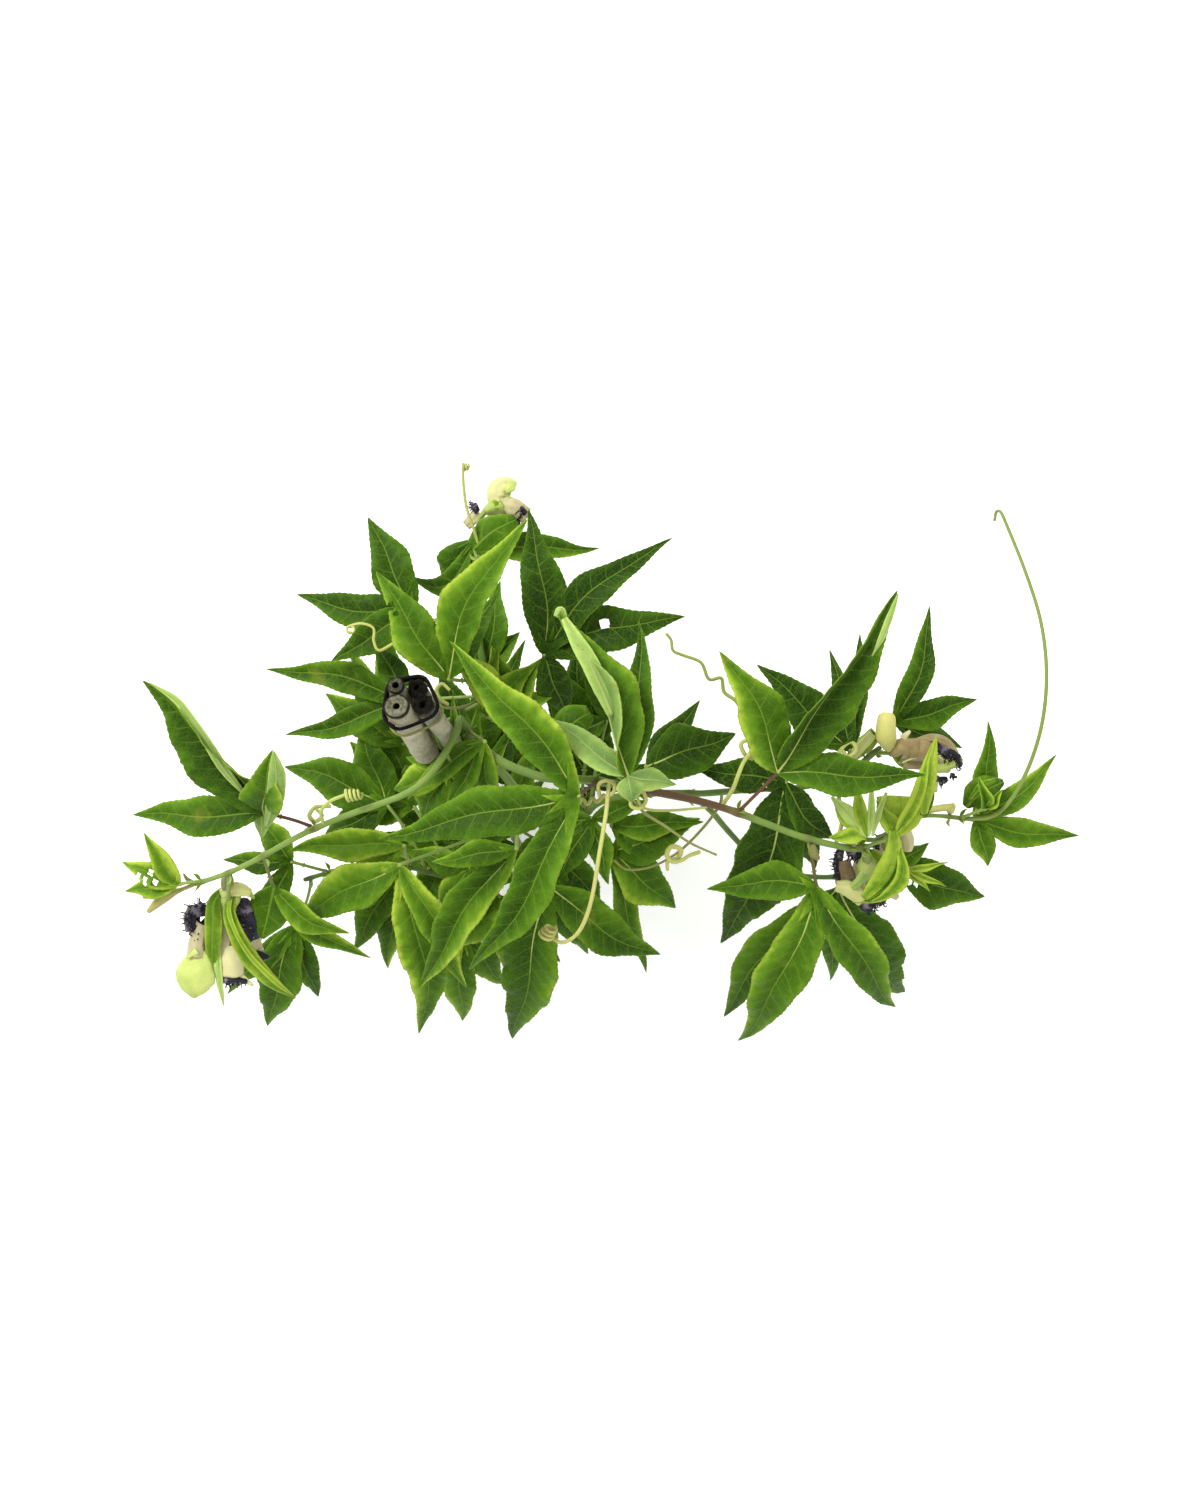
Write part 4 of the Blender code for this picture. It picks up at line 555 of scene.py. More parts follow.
# slot names of the leaves that the tone does not settle
SLOTS = {"leaf_dark_mid": "leaf_dark", "leaf_left_tip": "leaf_young"}
BLADE = 0.42  # thickness of a blade
TOOTH = 2.7  # spacing of the teeth on a blade's edge
VEIN_SPACING = 7.6
VEIN_SLANT, VEIN_CURVE = 0.45, 0.045  # how side veins lean, and curve towards the tip
CHART = 100.0  # millimetres for each unit of the Blade chart
FACE, GREEN_SKIN = 0, 2  # places of the finishes on a piece; the underside has place 1

# ---------------------------------------------------------------- blooms
# name: stem, where the stalk leaves it, back of the cup, facing
BLOOMS = {
    "bloom_left": ("stem_left", (-161.5, -53.5, 129), (-167.5, -74, 106), (0.0, -0.62, -0.78)),
    "bloom_top": ("stem_back", (-51.5, 97, 101), (-47.5, 105, 98), (0.1, 0.5, -0.86)),
    "bloom_low_right": ("stem_right", (115.5, -42.5, 122), (119.5, -53, 106), (0.0, -0.55, -0.83)),
    "bloom_far_right": ("stem_low_right", (126.5, 1.5, 107), (131.5, -1.5, 109),
                        (0.97, -0.1, -0.12)),
}
COLLAR = 1.9  # radius of the knot that carries the bracts
FOOTSTALK = 1.15  # radius of the bloom's stalk


# ---------------------------------------------------------------- finishes
class Sum:
    """A number on the surface of a piece, on which a material's sums are written."""

    def __init__(self, finish, socket):
        self.finish = finish
        self.socket = socket

    def do(self, operation, *others, clamp=False):
        values = {0: self}
        values.update({i + 1: other for i, other in enumerate(others)})
        settings = {"operation": operation, "use_clamp": clamp}
        return self.finish.node("ShaderNodeMath", settings, values)

    def __add__(self, other):
        return self.do("ADD", other)

    def __sub__(self, other):
        return self.do("SUBTRACT", other)

    def __mul__(self, other):
        return self.do("MULTIPLY", other)

    def __truediv__(self, other):
        return self.do("DIVIDE", other)

    def __pow__(self, other):
        return self.do("POWER", other)

    def __abs__(self):
        return self.do("ABSOLUTE")

    def __rsub__(self, other):
        return (self * -1.0) + other

    __radd__ = __add__
    __rmul__ = __mul__

    def fraction(self):
        return self.do("FRACT")

    def larger(self, other):
        return self.do("MAXIMUM", other)

    def smaller(self, other):
        return self.do("MINIMUM", other)

    def wave(self):
        return self.do("SINE")

    def held(self):
        return self.do("ADD", 0.0, clamp=True)


class Finish:
    """A material made of nodes that are written as sums."""

    def __init__(self, name, roughness=0.5):
        self.material = bpy.data.materials.new(name)
        self.material.use_nodes = True
        self.tree = self.material.node_tree
        self.shader = self.tree.nodes["Principled BSDF"]
        self.shader.inputs["Roughness"].default_value = roughness
        self.shader.inputs["Specular IOR Level"].default_value = 0.3
        self.place = self.node("ShaderNodeTexCoord", out="Object")

    def node(self, kind, settings=None, values=None, out=0):
        made = self.tree.nodes.new(kind)
        for key, value in (settings or {}).items():
            setattr(made, key, value)
        for key, value in (values or {}).items():
            self.plug(made.inputs[key], value)
        return Sum(self, made.outputs[out])

    def plug(self, socket, value):
        if isinstance(value, Sum):
            self.tree.links.new(value.socket, socket)
        else:
            socket.default_value = value

    def parts(self, vector):
        """The x, y and z numbers of a vector."""
        split = self.node("ShaderNodeSeparateXYZ", None, {0: vector})
        return [Sum(self, out) for out in split.socket.node.outputs]

    def chart(self, name):
        return self.node("ShaderNodeUVMap", {"uv_map": name})

    def mark(self, name):
        return self.node("ShaderNodeAttribute", {"attribute_name": name}, out="Fac")

    def cloud(self, scale, detail=3.0, on=None):
        """Soft noise around 0.5; the scale is in lumps for each metre."""
        values = {"Vector": on or self.place, "Scale": scale, "Detail": detail}
        return self.node("ShaderNodeTexNoise", None, values)

    def cells(self, scale, feature="DISTANCE_TO_EDGE", on=None):
        values = {"Vector": on or self.place, "Scale": scale}
        return self.node("ShaderNodeTexVoronoi", {"feature": feature}, values)

    def ramp(self, value, *stops):
        made = self.node("ShaderNodeValToRGB", None, {0: value})
        ramp = made.socket.node.color_ramp
        while len(ramp.elements) < len(stops):
            ramp.elements.new(0.5)
        for element, (at, colour) in zip(ramp.elements, stops):
            element.position = at
            element.color = (*colour, 1.0)
        return made

    def mix(self, share, first, second, how="MIX"):
        first, second = (c if isinstance(c, Sum) else (*c, 1.0) for c in (first, second))
        settings = {"data_type": "RGBA", "blend_type": how}
        return self.node("ShaderNodeMix", settings, {0: share, 6: first, 7: second}, out=2)

    def done(self, colour, height=None, depth=0.2, roughness=None):
        """Plugs in the colour, a bump as shares of depth millimetres, and the roughness."""
        self.plug(self.shader.inputs["Base Color"], colour)
        if height is not None:
            values = {"Height": height, "Distance": depth * MM, "Strength": 1.0}
            self.plug(self.shader.inputs["Normal"], self.node("ShaderNodeBump", None, values))
        if roughness is not None:
            self.plug(self.shader.inputs["Roughness"], roughness)
        return self.material


def leaf_finish(name, stops, vein, vein_share, raised, gloss):
    """Green blade with a midrib, curved side veins, a fine net between them and a pale edge."""
    made = Finish(name)
    made.shader.inputs["Specular IOR Level"].default_value = 0.07
    across, along, _ = made.parts(made.chart("Blade"))
    across, along = across * CHART, along * CHART
    edge, share, _ = made.parts(made.chart("Share"))
    edge = abs(edge)
    tone, blush = made.mark("tone"), made.mark("blush")
    y = abs(across)
    other_side = across.do("GREATER_THAN", 0.0)
    drift = made.cloud(60.0) - 0.5
    course = (along - VEIN_SLANT * y - VEIN_CURVE * y * y) / VEIN_SPACING
    course = course + 0.5 * other_side + 0.4 * drift
    off = abs(course.fraction() - 0.5)
    side_vein = (1.3 - off * VEIN_SPACING / (0.34 - 0.17 * edge)).held() * (1.0 - 0.45 * edge)
    midrib = (1.4 - y / (0.46 - 0.3 * share)).held()
    cell = made.cells(760.0)
    net = (1.0 - cell / 0.10).held()
    coarse = (1.0 - made.cells(270.0) / 0.045).held()
    veins = midrib.larger(side_vein * 0.6).larger(coarse * 0.34).larger(net * 0.24)
    patch = made.cloud(45.0, 2.0)
    speck = made.cloud(420.0, 4.0)
    swell = off * 2.0
    depth = tone + 0.045 + 0.5 * (patch - 0.5) + 0.28 * (speck - 0.5) + 0.05 * (0.5 - swell)
    # lighter towards the edges and darker along the midrib: partly the paler margin of the leaf,
    # partly painted light on the raised margins and painted shade in the fold; a little darker
    # towards the foot of the lobe
    depth = depth + 0.42 * (edge * edge - 0.33) + 0.10 * (share - 0.5)
    colour = made.ramp(depth.held(), *stops)
    colour = made.mix((veins * vein_share).held(), colour, vein)
    rim = ((edge - 0.94) * 18.0).held() * 0.6
    colour = made.mix(rim, colour, vein)
    sick = ((made.cloud(38.0, 5.0) - 0.69) * 9.0).held()
    colour = made.mix((sick * 0.5).held(), colour, (0.22, 0.23, 0.03))
    colour = made.mix(blush.held(), colour, (0.30, 0.17, 0.045))
    height = raised * veins + 0.16 * (swell - swell * swell * 0.5) + 0.12 * speck - 0.15 * net
    roughness = gloss + 0.12 * speck + 0.1 * veins
    return made.done(colour, height, 0.28, roughness)


RIB_SPACING = 1.1  # of the fine ribs round a stem


def stem_finish():
    """Green stem skin with fine ribs, brown-red where the sun has coloured it."""
    made = Finish("stem_skin")
    around, along, _ = made.parts(made.chart("Blade"))
    tone, blush = made.mark("tone"), made.mark("blush")
    rib = (around * (CHART * 2 * math.pi / RIB_SPACING)).wave()
    streak = made.cloud(1.0, 4.0, on=made.node(
        "ShaderNodeCombineXYZ", None, {0: around * 900.0, 1: along * 60.0, 2: 0.0}))
    cloudy = made.cloud(110.0, 3.0)
    level = tone + 0.35 * (streak - 0.5) + 0.3 * (cloudy - 0.5)
    colour = made.ramp(
        level.held(), (0.0, (0.04, 0.09, 0.008)), (0.35, (0.09, 0.17, 0.02)),
        (0.6, (0.18, 0.27, 0.045)), (0.85, (0.37, 0.42, 0.10)), (1.0, (0.50, 0.47, 0.14)))
    brown = (blush * 1.25 + 0.9 * (streak - 0.5) + 0.5 * (cloudy - 0.5)) * 1.1
    brown = brown.held() * (blush * 8.0).held()
    colour = made.mix(brown, colour, (0.085, 0.036, 0.014))
    speck = made.cloud(900.0, 2.0)
    colour = made.mix(((speck - 0.64) * 4.0).held(), colour, (0.20, 0.18, 0.07))
    height = 0.5 * rib + streak + 0.3 * speck
    return made.done(colour, height, 0.12, 0.42 + 0.15 * streak)


def petal_finish(name, greener):
    """Limp petals, tan to cream to green by tone, veined lengthwise, browned at the edge."""
    made = Finish(name)
    across, along, _ = made.parts(made.chart("Blade"))
    edge = made.parts(made.chart("Share"))[0]
    tone, blush = made.mark("tone"), made.mark("blush")
    line = made.cloud(1.0, 3.0, on=made.node(
        "ShaderNodeCombineXYZ", None, {0: across * 1500.0, 1: along * 90.0, 2: 0.0}))
    cloudy = made.cloud(150.0, 4.0)
    level = greener + tone + 0.2 * (line - 0.5) + 0.3 * (cloudy - 0.5)
    colour = made.ramp(
        level.held(), (0.0, (0.17, 0.085, 0.025)), (0.12, (0.29, 0.23, 0.095)),
        (0.26, (0.52, 0.47, 0.25)), (0.5, (0.58, 0.54, 0.26)), (0.78, (0.50, 0.56, 0.155)),
        (1.0, (0.22, 0.34, 0.04)))
    scorched = ((abs(edge) - 0.82) * 3.0 + 0.8 * (cloudy - 0.55)).held()
    colour = made.mix((scorched * 0.5 * (1.0 - 0.6 * tone)).held(), colour, (0.20, 0.12, 0.04))
    colour = made.mix((blush + 1.6 * (cloudy - 0.5) * blush).held(), colour, (0.05, 0.022, 0.09))
    return made.done(colour, line + 0.5 * cloudy, 0.2, 0.5 + 0.1 * cloudy)


def filament_finish():
    """Dark violet threads, paler in bands towards the foot and bluish at the tip."""
    made = Finish("filament")
    share = made.parts(made.chart("Share"))[1]
    cloudy = made.cloud(600.0, 3.0)
    level = share + 0.25 * (cloudy - 0.5)
    colour = made.ramp(
        level.held(), (0.0, (0.03, 0.010, 0.03)), (0.16, (0.010, 0.004, 0.014)),
        (0.3, (0.16, 0.14, 0.17)), (0.36, (0.008, 0.006, 0.014)), (0.8, (0.004, 0.004, 0.009)),
        (1.0, (0.016, 0.014, 0.04)))
    return made.done(colour, cloudy, 0.15, 0.48 + 0.2 * cloudy)


def cane_finish():
    """Weathered cane: straw-grey rind with long fibres, black mould near the sawn end, and the
    hollow of the bore painted black as its shade.
    """
    made = Finish("weathered_cane")
    made.shader.inputs["Specular IOR Level"].default_value = 0.05
    around, along, _ = made.parts(made.chart("Blade"))
    end = made.mark("blush")
    dark = made.mark("tone")
    fibre = made.cloud(1.0, 5.0, on=made.node(
        "ShaderNodeCombineXYZ", None, {0: around * 1400.0, 1: along * 30.0, 2: 0.0}))
    cloudy = made.cloud(90.0, 5.0)
    speck = made.cloud(800.0, 3.0)
    level = fibre * 0.75 + cloudy * 0.4
    colour = made.ramp(
        level.held(), (0.34, (0.07, 0.060, 0.030)), (0.47, (0.26, 0.24, 0.145)),
        (0.58, (0.44, 0.42, 0.29)), (0.75, (0.60, 0.58, 0.45)))
    pores = (1.0 - made.cells(1500.0, "F1") / 0.32).held()
    stain = made.cloud(330.0, 5.0)
    sawn = made.mix(
        (0.3 * pores + 2.4 * (stain - 0.42) + 1.2 * (speck - 0.5)).held(),
        (0.19, 0.19, 0.12), (0.03, 0.03, 0.016))
    colour = made.mix(end, colour, sawn)
    # the tone mark holds the mould near the sawn end and the painted black shade of the bore
    mould = (dark * 1.6 + 1.6 * (cloudy - 0.5) + 0.9 * (speck - 0.5)).held() * (dark * 6.0).held()
    colour = made.mix((mould * 0.97).held(), colour, (0.006, 0.005, 0.004))
    return made.done(colour, fibre + 0.6 * speck - 0.4 * pores * end, 0.3, 0.62 + 0.25 * fibre)


def wire_finish():
    """Black coated wire, dusty and a little scuffed."""
    made = Finish("coated_wire")
    made.shader.inputs["Specular IOR Level"].default_value = 0.03
    dust = made.cloud(260.0, 5.0)
    scuff = made.cloud(1400.0, 3.0)
    colour = made.ramp(
        (0.6 * dust + 0.4 * scuff).held(), (0.35, (0.003, 0.003, 0.003)),
        (0.62, (0.006, 0.006, 0.005)), (0.9, (0.03, 0.028, 0.022)))
    return made.done(colour, 0.5 * scuff + 0.5 * dust, 0.1, 0.34 + 0.3 * dust)


BLADE_STOPS = (
    (0.0, (0.009, 0.030, 0.001)), (0.25, (0.019, 0.056, 0.001)), (0.5, (0.040, 0.104, 0.002)),
    (0.75, (0.092, 0.19, 0.007)), (1.0, (0.30, 0.40, 0.035)))
UNDER_STOPS = (
    (0.0, (0.065, 0.12, 0.030)), (0.4, (0.12, 0.21, 0.045)), (0.7, (0.22, 0.32, 0.070)),
    (1.0, (0.36, 0.49, 0.12)))
TOP = leaf_finish("blade_top", BLADE_STOPS, (0.15, 0.24, 0.025), 0.68, -0.6, 0.42)
UNDER = leaf_finish("blade_underside", UNDER_STOPS, (0.30, 0.37, 0.12), 0.6, 1.0, 0.55)
SKIN = stem_finish()
PETAL = petal_finish("petal_face", 0.0)
PETAL_BACK = petal_finish("petal_back", 0.06)
FILAMENT = filament_finish()
CANE = cane_finish()
WIRE = wire_finish()
LEAF_FINISHES = (TOP, UNDER, SKIN)


# ---------------------------------------------------------------- laying surfaces
def blank():
    """A new bmesh with the two charts and the two marks that the finishes read."""
    bm = bmesh.new()
    bm.loops.layers.uv.new("Blade")
    bm.loops.layers.uv.new("Share")
    bm.verts.layers.float.new("tone")
    bm.verts.layers.float.new("blush")
    return bm


def lay(bm, columns, rows, place, size, tone, blush=None, finish=0, across=(-1.0, 1.0)):
    """Lays a grid of faces on the surface that place(along, across) gives.

    Along runs from 0 to 1 and across between its two ends. Size gives the chart's width and
    length in millimetres; tone and blush are numbers or functions of along and across.
    """
    chart, shares = bm.loops.layers.uv["Blade"], bm.loops.layers.uv["Share"]
    tones, blushes = bm.verts.layers.float["tone"], bm.verts.layers.float["blush"]
    made = bmesh.ops.create_grid(bm, x_segments=columns, y_segments=rows, size=0.5)["verts"]
    low, high = across
    spots = {vert: (vert.co.y + 0.5, low + (high - low) * (vert.co.x + 0.5)) for vert in made}
    for face in {face for vert in made for face in vert.link_faces}:
        face.smooth = True
        face.material_index = finish
        for loop in face.loops:
            t, v = spots[loop.vert]
            loop[chart].uv = size(t, v)
            loop[shares].uv = (v, t)
    for vert, (t, v) in spots.items():
        vert[tones] = tone(t, v) if callable(tone) else tone
        vert[blushes] = (blush(t, v) if callable(blush) else blush) if blush else 0.0
        vert.co = (place(t, v) + PLACE) * MM
    bmesh.ops.remove_doubles(bm, verts=made, dist=0.000001)


def sweep(bm, path, radii, sides=10, tone=0.5, blush=None, finish=0, knobbly=0.0, ends=True):
    """A round stem along a path, closed and rounded at its ends."""
    path = [Vector(spot) for spot in path]
    radii = list(radii)
    if ends:
        first = (path[0] - path[1]).normalized() * radii[0]
        last = (path[-1] - path[-2]).normalized() * radii[-1]
        path = [path[0] + first * 0.5, path[0] + first * 0.4, *path,
                path[-1] + last * 0.4, path[-1] + last * 0.5]
        radii = [0.0, 0.7 * radii[0], *radii, 0.7 * radii[-1], 0.0]
    headings = [(b - a).normalized() for a, b in zip(path, path[1:])]
    headings.append(headings[-1])
    aside = headings[0].cross(UP)
    if aside.length < 0.1:
        aside = headings[0].cross(Vector((0, 1, 0)))
    aside.normalize()
    frames, travelled, lengths = [], 0.0, []
    for i, heading in enumerate(headings):
        aside = (aside - heading * aside.dot(heading)).normalized()
        frames.append((aside, heading.cross(aside)))
        lengths.append(travelled)
        if i + 1 < len(path):
            travelled += (path[i + 1] - path[i]).length
    rows = len(path) - 1
    middle = max(radii)

    def place(t, v):
        i = round(t * rows)
        angle = math.pi * v
        first, second = frames[i]
        spoke = first * math.cos(angle) + second * math.sin(angle)
        reach = radii[i]
        if knobbly and 1 < i < rows - 1:
            reach *= 1 + knobbly * math.cos(5 * angle) + knobbly * noise.noise(path[i] * 0.25)
        return path[i] + spoke * reach

    def size(t, v):
        return v * math.pi * middle / CHART, lengths[round(t * rows)] / CHART

    def along(value):
        if callable(value):
            return lambda t, v: value(path[round(t * rows)])
        return value

    lay(bm, sides, rows, place, size, along(tone), along(blush), finish)


def bead(bm, centre, radius, axis=UP, stretch=1.0, tone=0.5, blush=None, finish=0, sides=10):
    """A rounded knot, drawn out along its axis."""
    axis = Vector(axis).normalized()
    steps = 8
    path = [Vector(centre) - axis * (radius * stretch * math.cos(math.pi * i / steps))
            for i in range(steps + 1)]
    radii = [radius * math.sin(math.pi * i / steps) for i in range(steps + 1)]
    radii[0] = radii[-1] = 0.0
    sweep(bm, path, radii, sides, tone, blush, finish, ends=False)


def finished(bm, name, finishes, slot, *nodes):
    """The piece that stands for the CAD nodes, or grows beside them where there are none."""
    mesh = bpy.data.meshes.new(name)
    bm.normal_update()
    bm.to_mesh(mesh)
    bm.free()
    for finish in finishes:
        mesh.materials.append(finish)
    piece = bpy.data.objects.new(name + "_dressed", mesh)
    bpy.context.scene.collection.objects.link(piece)
    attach(piece, "root")
    if nodes:
        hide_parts(*nodes)
    return piece


def thickened(bm, wall):
    """The sheets of a bmesh given their thickness, the underside with the next finish."""
    mesh = bpy.data.meshes.new("sheets")
    bm.to_mesh(mesh)
    bm.free()
    mesh.materials.append(TOP)
    mesh.materials.append(UNDER)
    sheet = bpy.data.objects.new("sheets", mesh)
    bpy.context.scene.collection.objects.link(sheet)
    shell = sheet.modifiers.new("thickness", "SOLIDIFY")
    shell.thickness = wall * MM
    shell.offset = 0.0
    shell.use_even_offset = False
    shell.material_offset = 1
    bpy.context.view_layer.update()
    graph = bpy.context.evaluated_depsgraph_get()
    made = blank()
    made.from_mesh(sheet.evaluated_get(graph).to_mesh())
    bpy.data.objects.remove(sheet)
    return made


# ---------------------------------------------------------------- curves
def smooth_route(points, samples):
    """Points of a Catmull-Rom curve through the given ones."""
    spots = [Vector(p) for p in points]
    ends = [2 * spots[0] - spots[1], *spots, 2 * spots[-1] - spots[-2]]
    made = []
    for a, b, c, d in zip(ends, ends[1:], ends[2:], ends[3:]):
        for step in range(samples):
            t = step / samples
            made.append(
                0.5 * (2 * b + (c - a) * t + (2 * a - 5 * b + 4 * c - d) * t * t
                       + (3 * b - a - 3 * c + d) * t ** 3)
            )
    return [*made, spots[-1]]


def tapered(count, start, end):
    """Numbers that change evenly from start to end."""
    return [start + (end - start) * i / (count - 1) for i in range(count)]


def stem_route(name):
    """Axis of a stem in a few points, and its radius at each of them."""
    parent, start, end, points = STEMS[name]
    if parent:
        fork, way = seat(parent, points[0], points[1], start)
        points = [fork, fork + way * FORK, *points[1:]]
    route = smooth_route(points, STEM_SAMPLES)
    if not parent:
        route[1].xy = route[0].xy  # upright at the cut
    return route, tapered(len(route), start, end)


def nearest(name, near):
    """The place on a stem's axis closest to a point, a little short of the stem's tip."""
    route, radii = stem_route(name)
    route[-1] -= (route[-1] - route[-2]).normalized() * TIP_LEFT
    near, found = Vector(near), []
    for a, b, size in zip(route, route[1:], radii):
        run = b - a
        share = max(0.0, min(1.0, (near - a).dot(run) / run.length_squared))
        spot = a + run * share
        found.append(((spot - near).length, spot, run.normalized(), size))
    return min(found, key=lambda entry: entry[0])[1:]


def seat(name, near, towards, radius):
    """Where a stalk of that radius starts, clear of the stem's side, and its first direction."""
    spot, tangent, size = nearest(name, near)
    wish = (Vector(towards) - spot).normalized()
    across = (wish - tangent * wish.dot(tangent)).normalized()
    lean = max(-0.6, min(0.6, wish.dot(tangent)))
    way = (across * math.sqrt(1 - lean * lean) + tangent * lean).normalized()
    out = (0.93 * size + GAP + radius * abs(lean)) / math.sqrt(1 - lean * lean)
    return spot + way * out, way


def coil_points(start, heading, radius, turns, pitch, axis, steps=6):
    """Turns of a helix that leave start along heading and climb along axis."""
    axis = Vector(axis).normalized()
    heading = (Vector(heading) - axis * Vector(heading).dot(axis)).normalized()
    outward = heading.cross(axis)
    centre = Vector(start) - outward * radius
    made = []
    for i in range(1, int(turns * steps) + 1):
        angle = 2 * math.pi * i / steps
        shrink = 1 - 0.25 * i / (turns * steps)
        spoke = outward * math.cos(angle) + heading * math.sin(angle)
        made.append(centre + spoke * radius * shrink + axis * pitch * i / steps)
    return made


def stalk_radii(radius, waist):
    """Radii along a stalk's path; between its ends it is waist times the radius."""
    last = STALK_POINTS - 1
    return [radius * (waist + 0.3 * (2 * i / last - 1) ** 6) for i in range(STALK_POINTS)]


def stalk_path(stem, near, end, radius):
    """A stalk that curves from the stem's side to its end."""
    end = Vector(end)
    start, way = seat(stem, near, end, radius)
    reach = (end - start).length
    bend = start + way * reach * 0.4 + UP * reach * 0.05
    start = start - way * (GAP + 0.2)
    path = []
    for i in range(STALK_POINTS):
        t = i / (STALK_POINTS - 1)
        path.append(start * (1 - t) ** 2 + bend * 2 * t * (1 - t) + end * t * t)
    return path


def eased(values, samples):
    """Numbers between the given ones, on the same kind of curve as a route."""
    spots = smooth_route([(value, 0, 0) for value in values], samples)
    return [max(0.15, spot.x) for spot in spots]


def drawn(spots, samples):
    """Path and widths through spots that are each x, y, z and a half width."""
    route = [spot[:3] for spot in spots]
    return smooth_route(route, samples), eased([spot[3] for spot in spots], samples)


def limp(bm, chance, spots, bulge, tone, blush, finish, crumple=0.5):
    """A limp blade or tepal through its spots: bulged across, creased and ragged at its edges."""
    path, widths = drawn(spots, 7)
    rows = len(path) - 1
    phase = chance.uniform(0, 50)

    def place(t, v):
        i = round(t * rows)
        heading = (path[min(i + 1, rows)] - path[max(i - 1, 0)]).normalized()
        side = heading.cross(UP).normalized()
        top = side.cross(heading)
        width = widths[i] * (1 + 0.08 * noise.noise(Vector((3.1 * t * rows / 7, 4 * v, phase))))
        crease = noise.noise(Vector((2.2 * v, 0.35 * i, phase)))
        lift = bulge * width * (math.cos(1.5 * v) - 0.5)
        lift += crumple * min(1.0, width / 3) * (crease + 0.4 * math.sin(9 * v + 0.3 * i))
        return path[i] + side * (width * math.sin(1.35 * v) / 0.98) + top * lift

    def size(t, v):
        i = round(t * rows)
        return v * widths[i] / CHART, i / CHART

    lay(bm, 14, rows, place, size, tone, blush, finish)


# ---------------------------------------------------------------- stems
# tone of each stem's skin, 0 deep green to 1 pale
SKIN_TONES = {
    "stem_left": 0.52, "stem_right": 0.50, "stem_back": 0.34, "stem_low_right": 0.40,
    "stem_right_tip": 0.52, "stem_side": 0.42, "stem_low_left": 0.40,
}
# tone, brownness and stoutness of a stem's tendrils, in their order
TENDRIL_TONES = {
    "stem_right": ((0.94, 0.1, 1.2), (0.86, 0.12, 1.2), (0.8, 0.35, 1.2)),
    "stem_left": ((0.84, 0.0, 1.2),),
    "stem_low_right": ((0.75, 0.35, 1.2), (0.7, 0.12, 1.6)),
    "stem_back": ((0.92, 0.05, 1.2), (0.86, 0.1, 1.2)),
    "stem_right_tip": ((0.58, 0.12, 1.65),),
}
SUNNED = {"stem_right": (2.0, 16.0, 48.0, 66.0)}  # from where to where the skin turns brown


def window(at, rise, full, fall, gone):
    """0 outside rise to gone, 1 from full to fall."""
    return max(0.0, min(1.0, (at - rise) / (full - rise), (gone - at) / (gone - fall)))


def stem_nodes(name):
    """Where leaves, blooms and side stems leave a stem, and which way they go."""
    grown = [(near, hub) for stem, near, hub, _ in LEAVES.values() if stem == name]
    grown += [(entry[1], entry[2]) for entry in BLOOMS.values() if entry[0] == name]
    grown += [(entry[3][0], entry[3][1]) for entry in STEMS.values() if entry[0] == name]
    return [(nearest(name, near), Vector(hub)) for near, hub in grown]


def tendril_path(stem, spec):
    """Axis of a tendril, from inside its stem to the end of its coil."""
    near, _, route, coil = spec
    path = smooth_route([nearest(stem, near)[0], *route], 1)
    if coil:
        path += coil_points(path[-1], path[-1] - path[-2], *coil)
    return smooth_route(path, 6)


def grip_path():
    """Axis of the tendril that runs to the canes and winds round them."""
    path = loop_round_canes(GRIP_DROP, GRIP_RADIUS + GAP, GRIP_TURNS, 1.9, GRIP_BY)
    return smooth_route([nearest(GRIPPING_STEM, GRIP_FROM)[0], Vector(GRIP_BY)] + path, 4)


def stipules(sheets, bm, chance, node, hub):
    """Two small pointed scales and a bud in the angle between stem and stalk."""
    (spot, tangent, size), out = node, hub - node[0]
    out = (out - tangent * out.dot(tangent)).normalized()
    aside = tangent.cross(out)
    for way in (-1, 1):
        foot = spot + aside * (way * size * 0.8) + out * (size * 0.5)
        lean = (tangent * chance.uniform(0.3, 0.9) + aside * way + out * 0.7).normalized()
        tip = foot + lean * chance.uniform(3.6, 5.4)
        blade(sheets, chance, foot, tip, 0.95, 0.4, 0.5 * way, 25, 25, 0, 0.62, out, 6)
    bud = spot + (out + tangent * 0.8).normalized() * (size * 1.15)
    bead(bm, bud, 0.85, out + tangent * 0.8, 1.7, 0.72, 0.12, GREEN_SKIN)


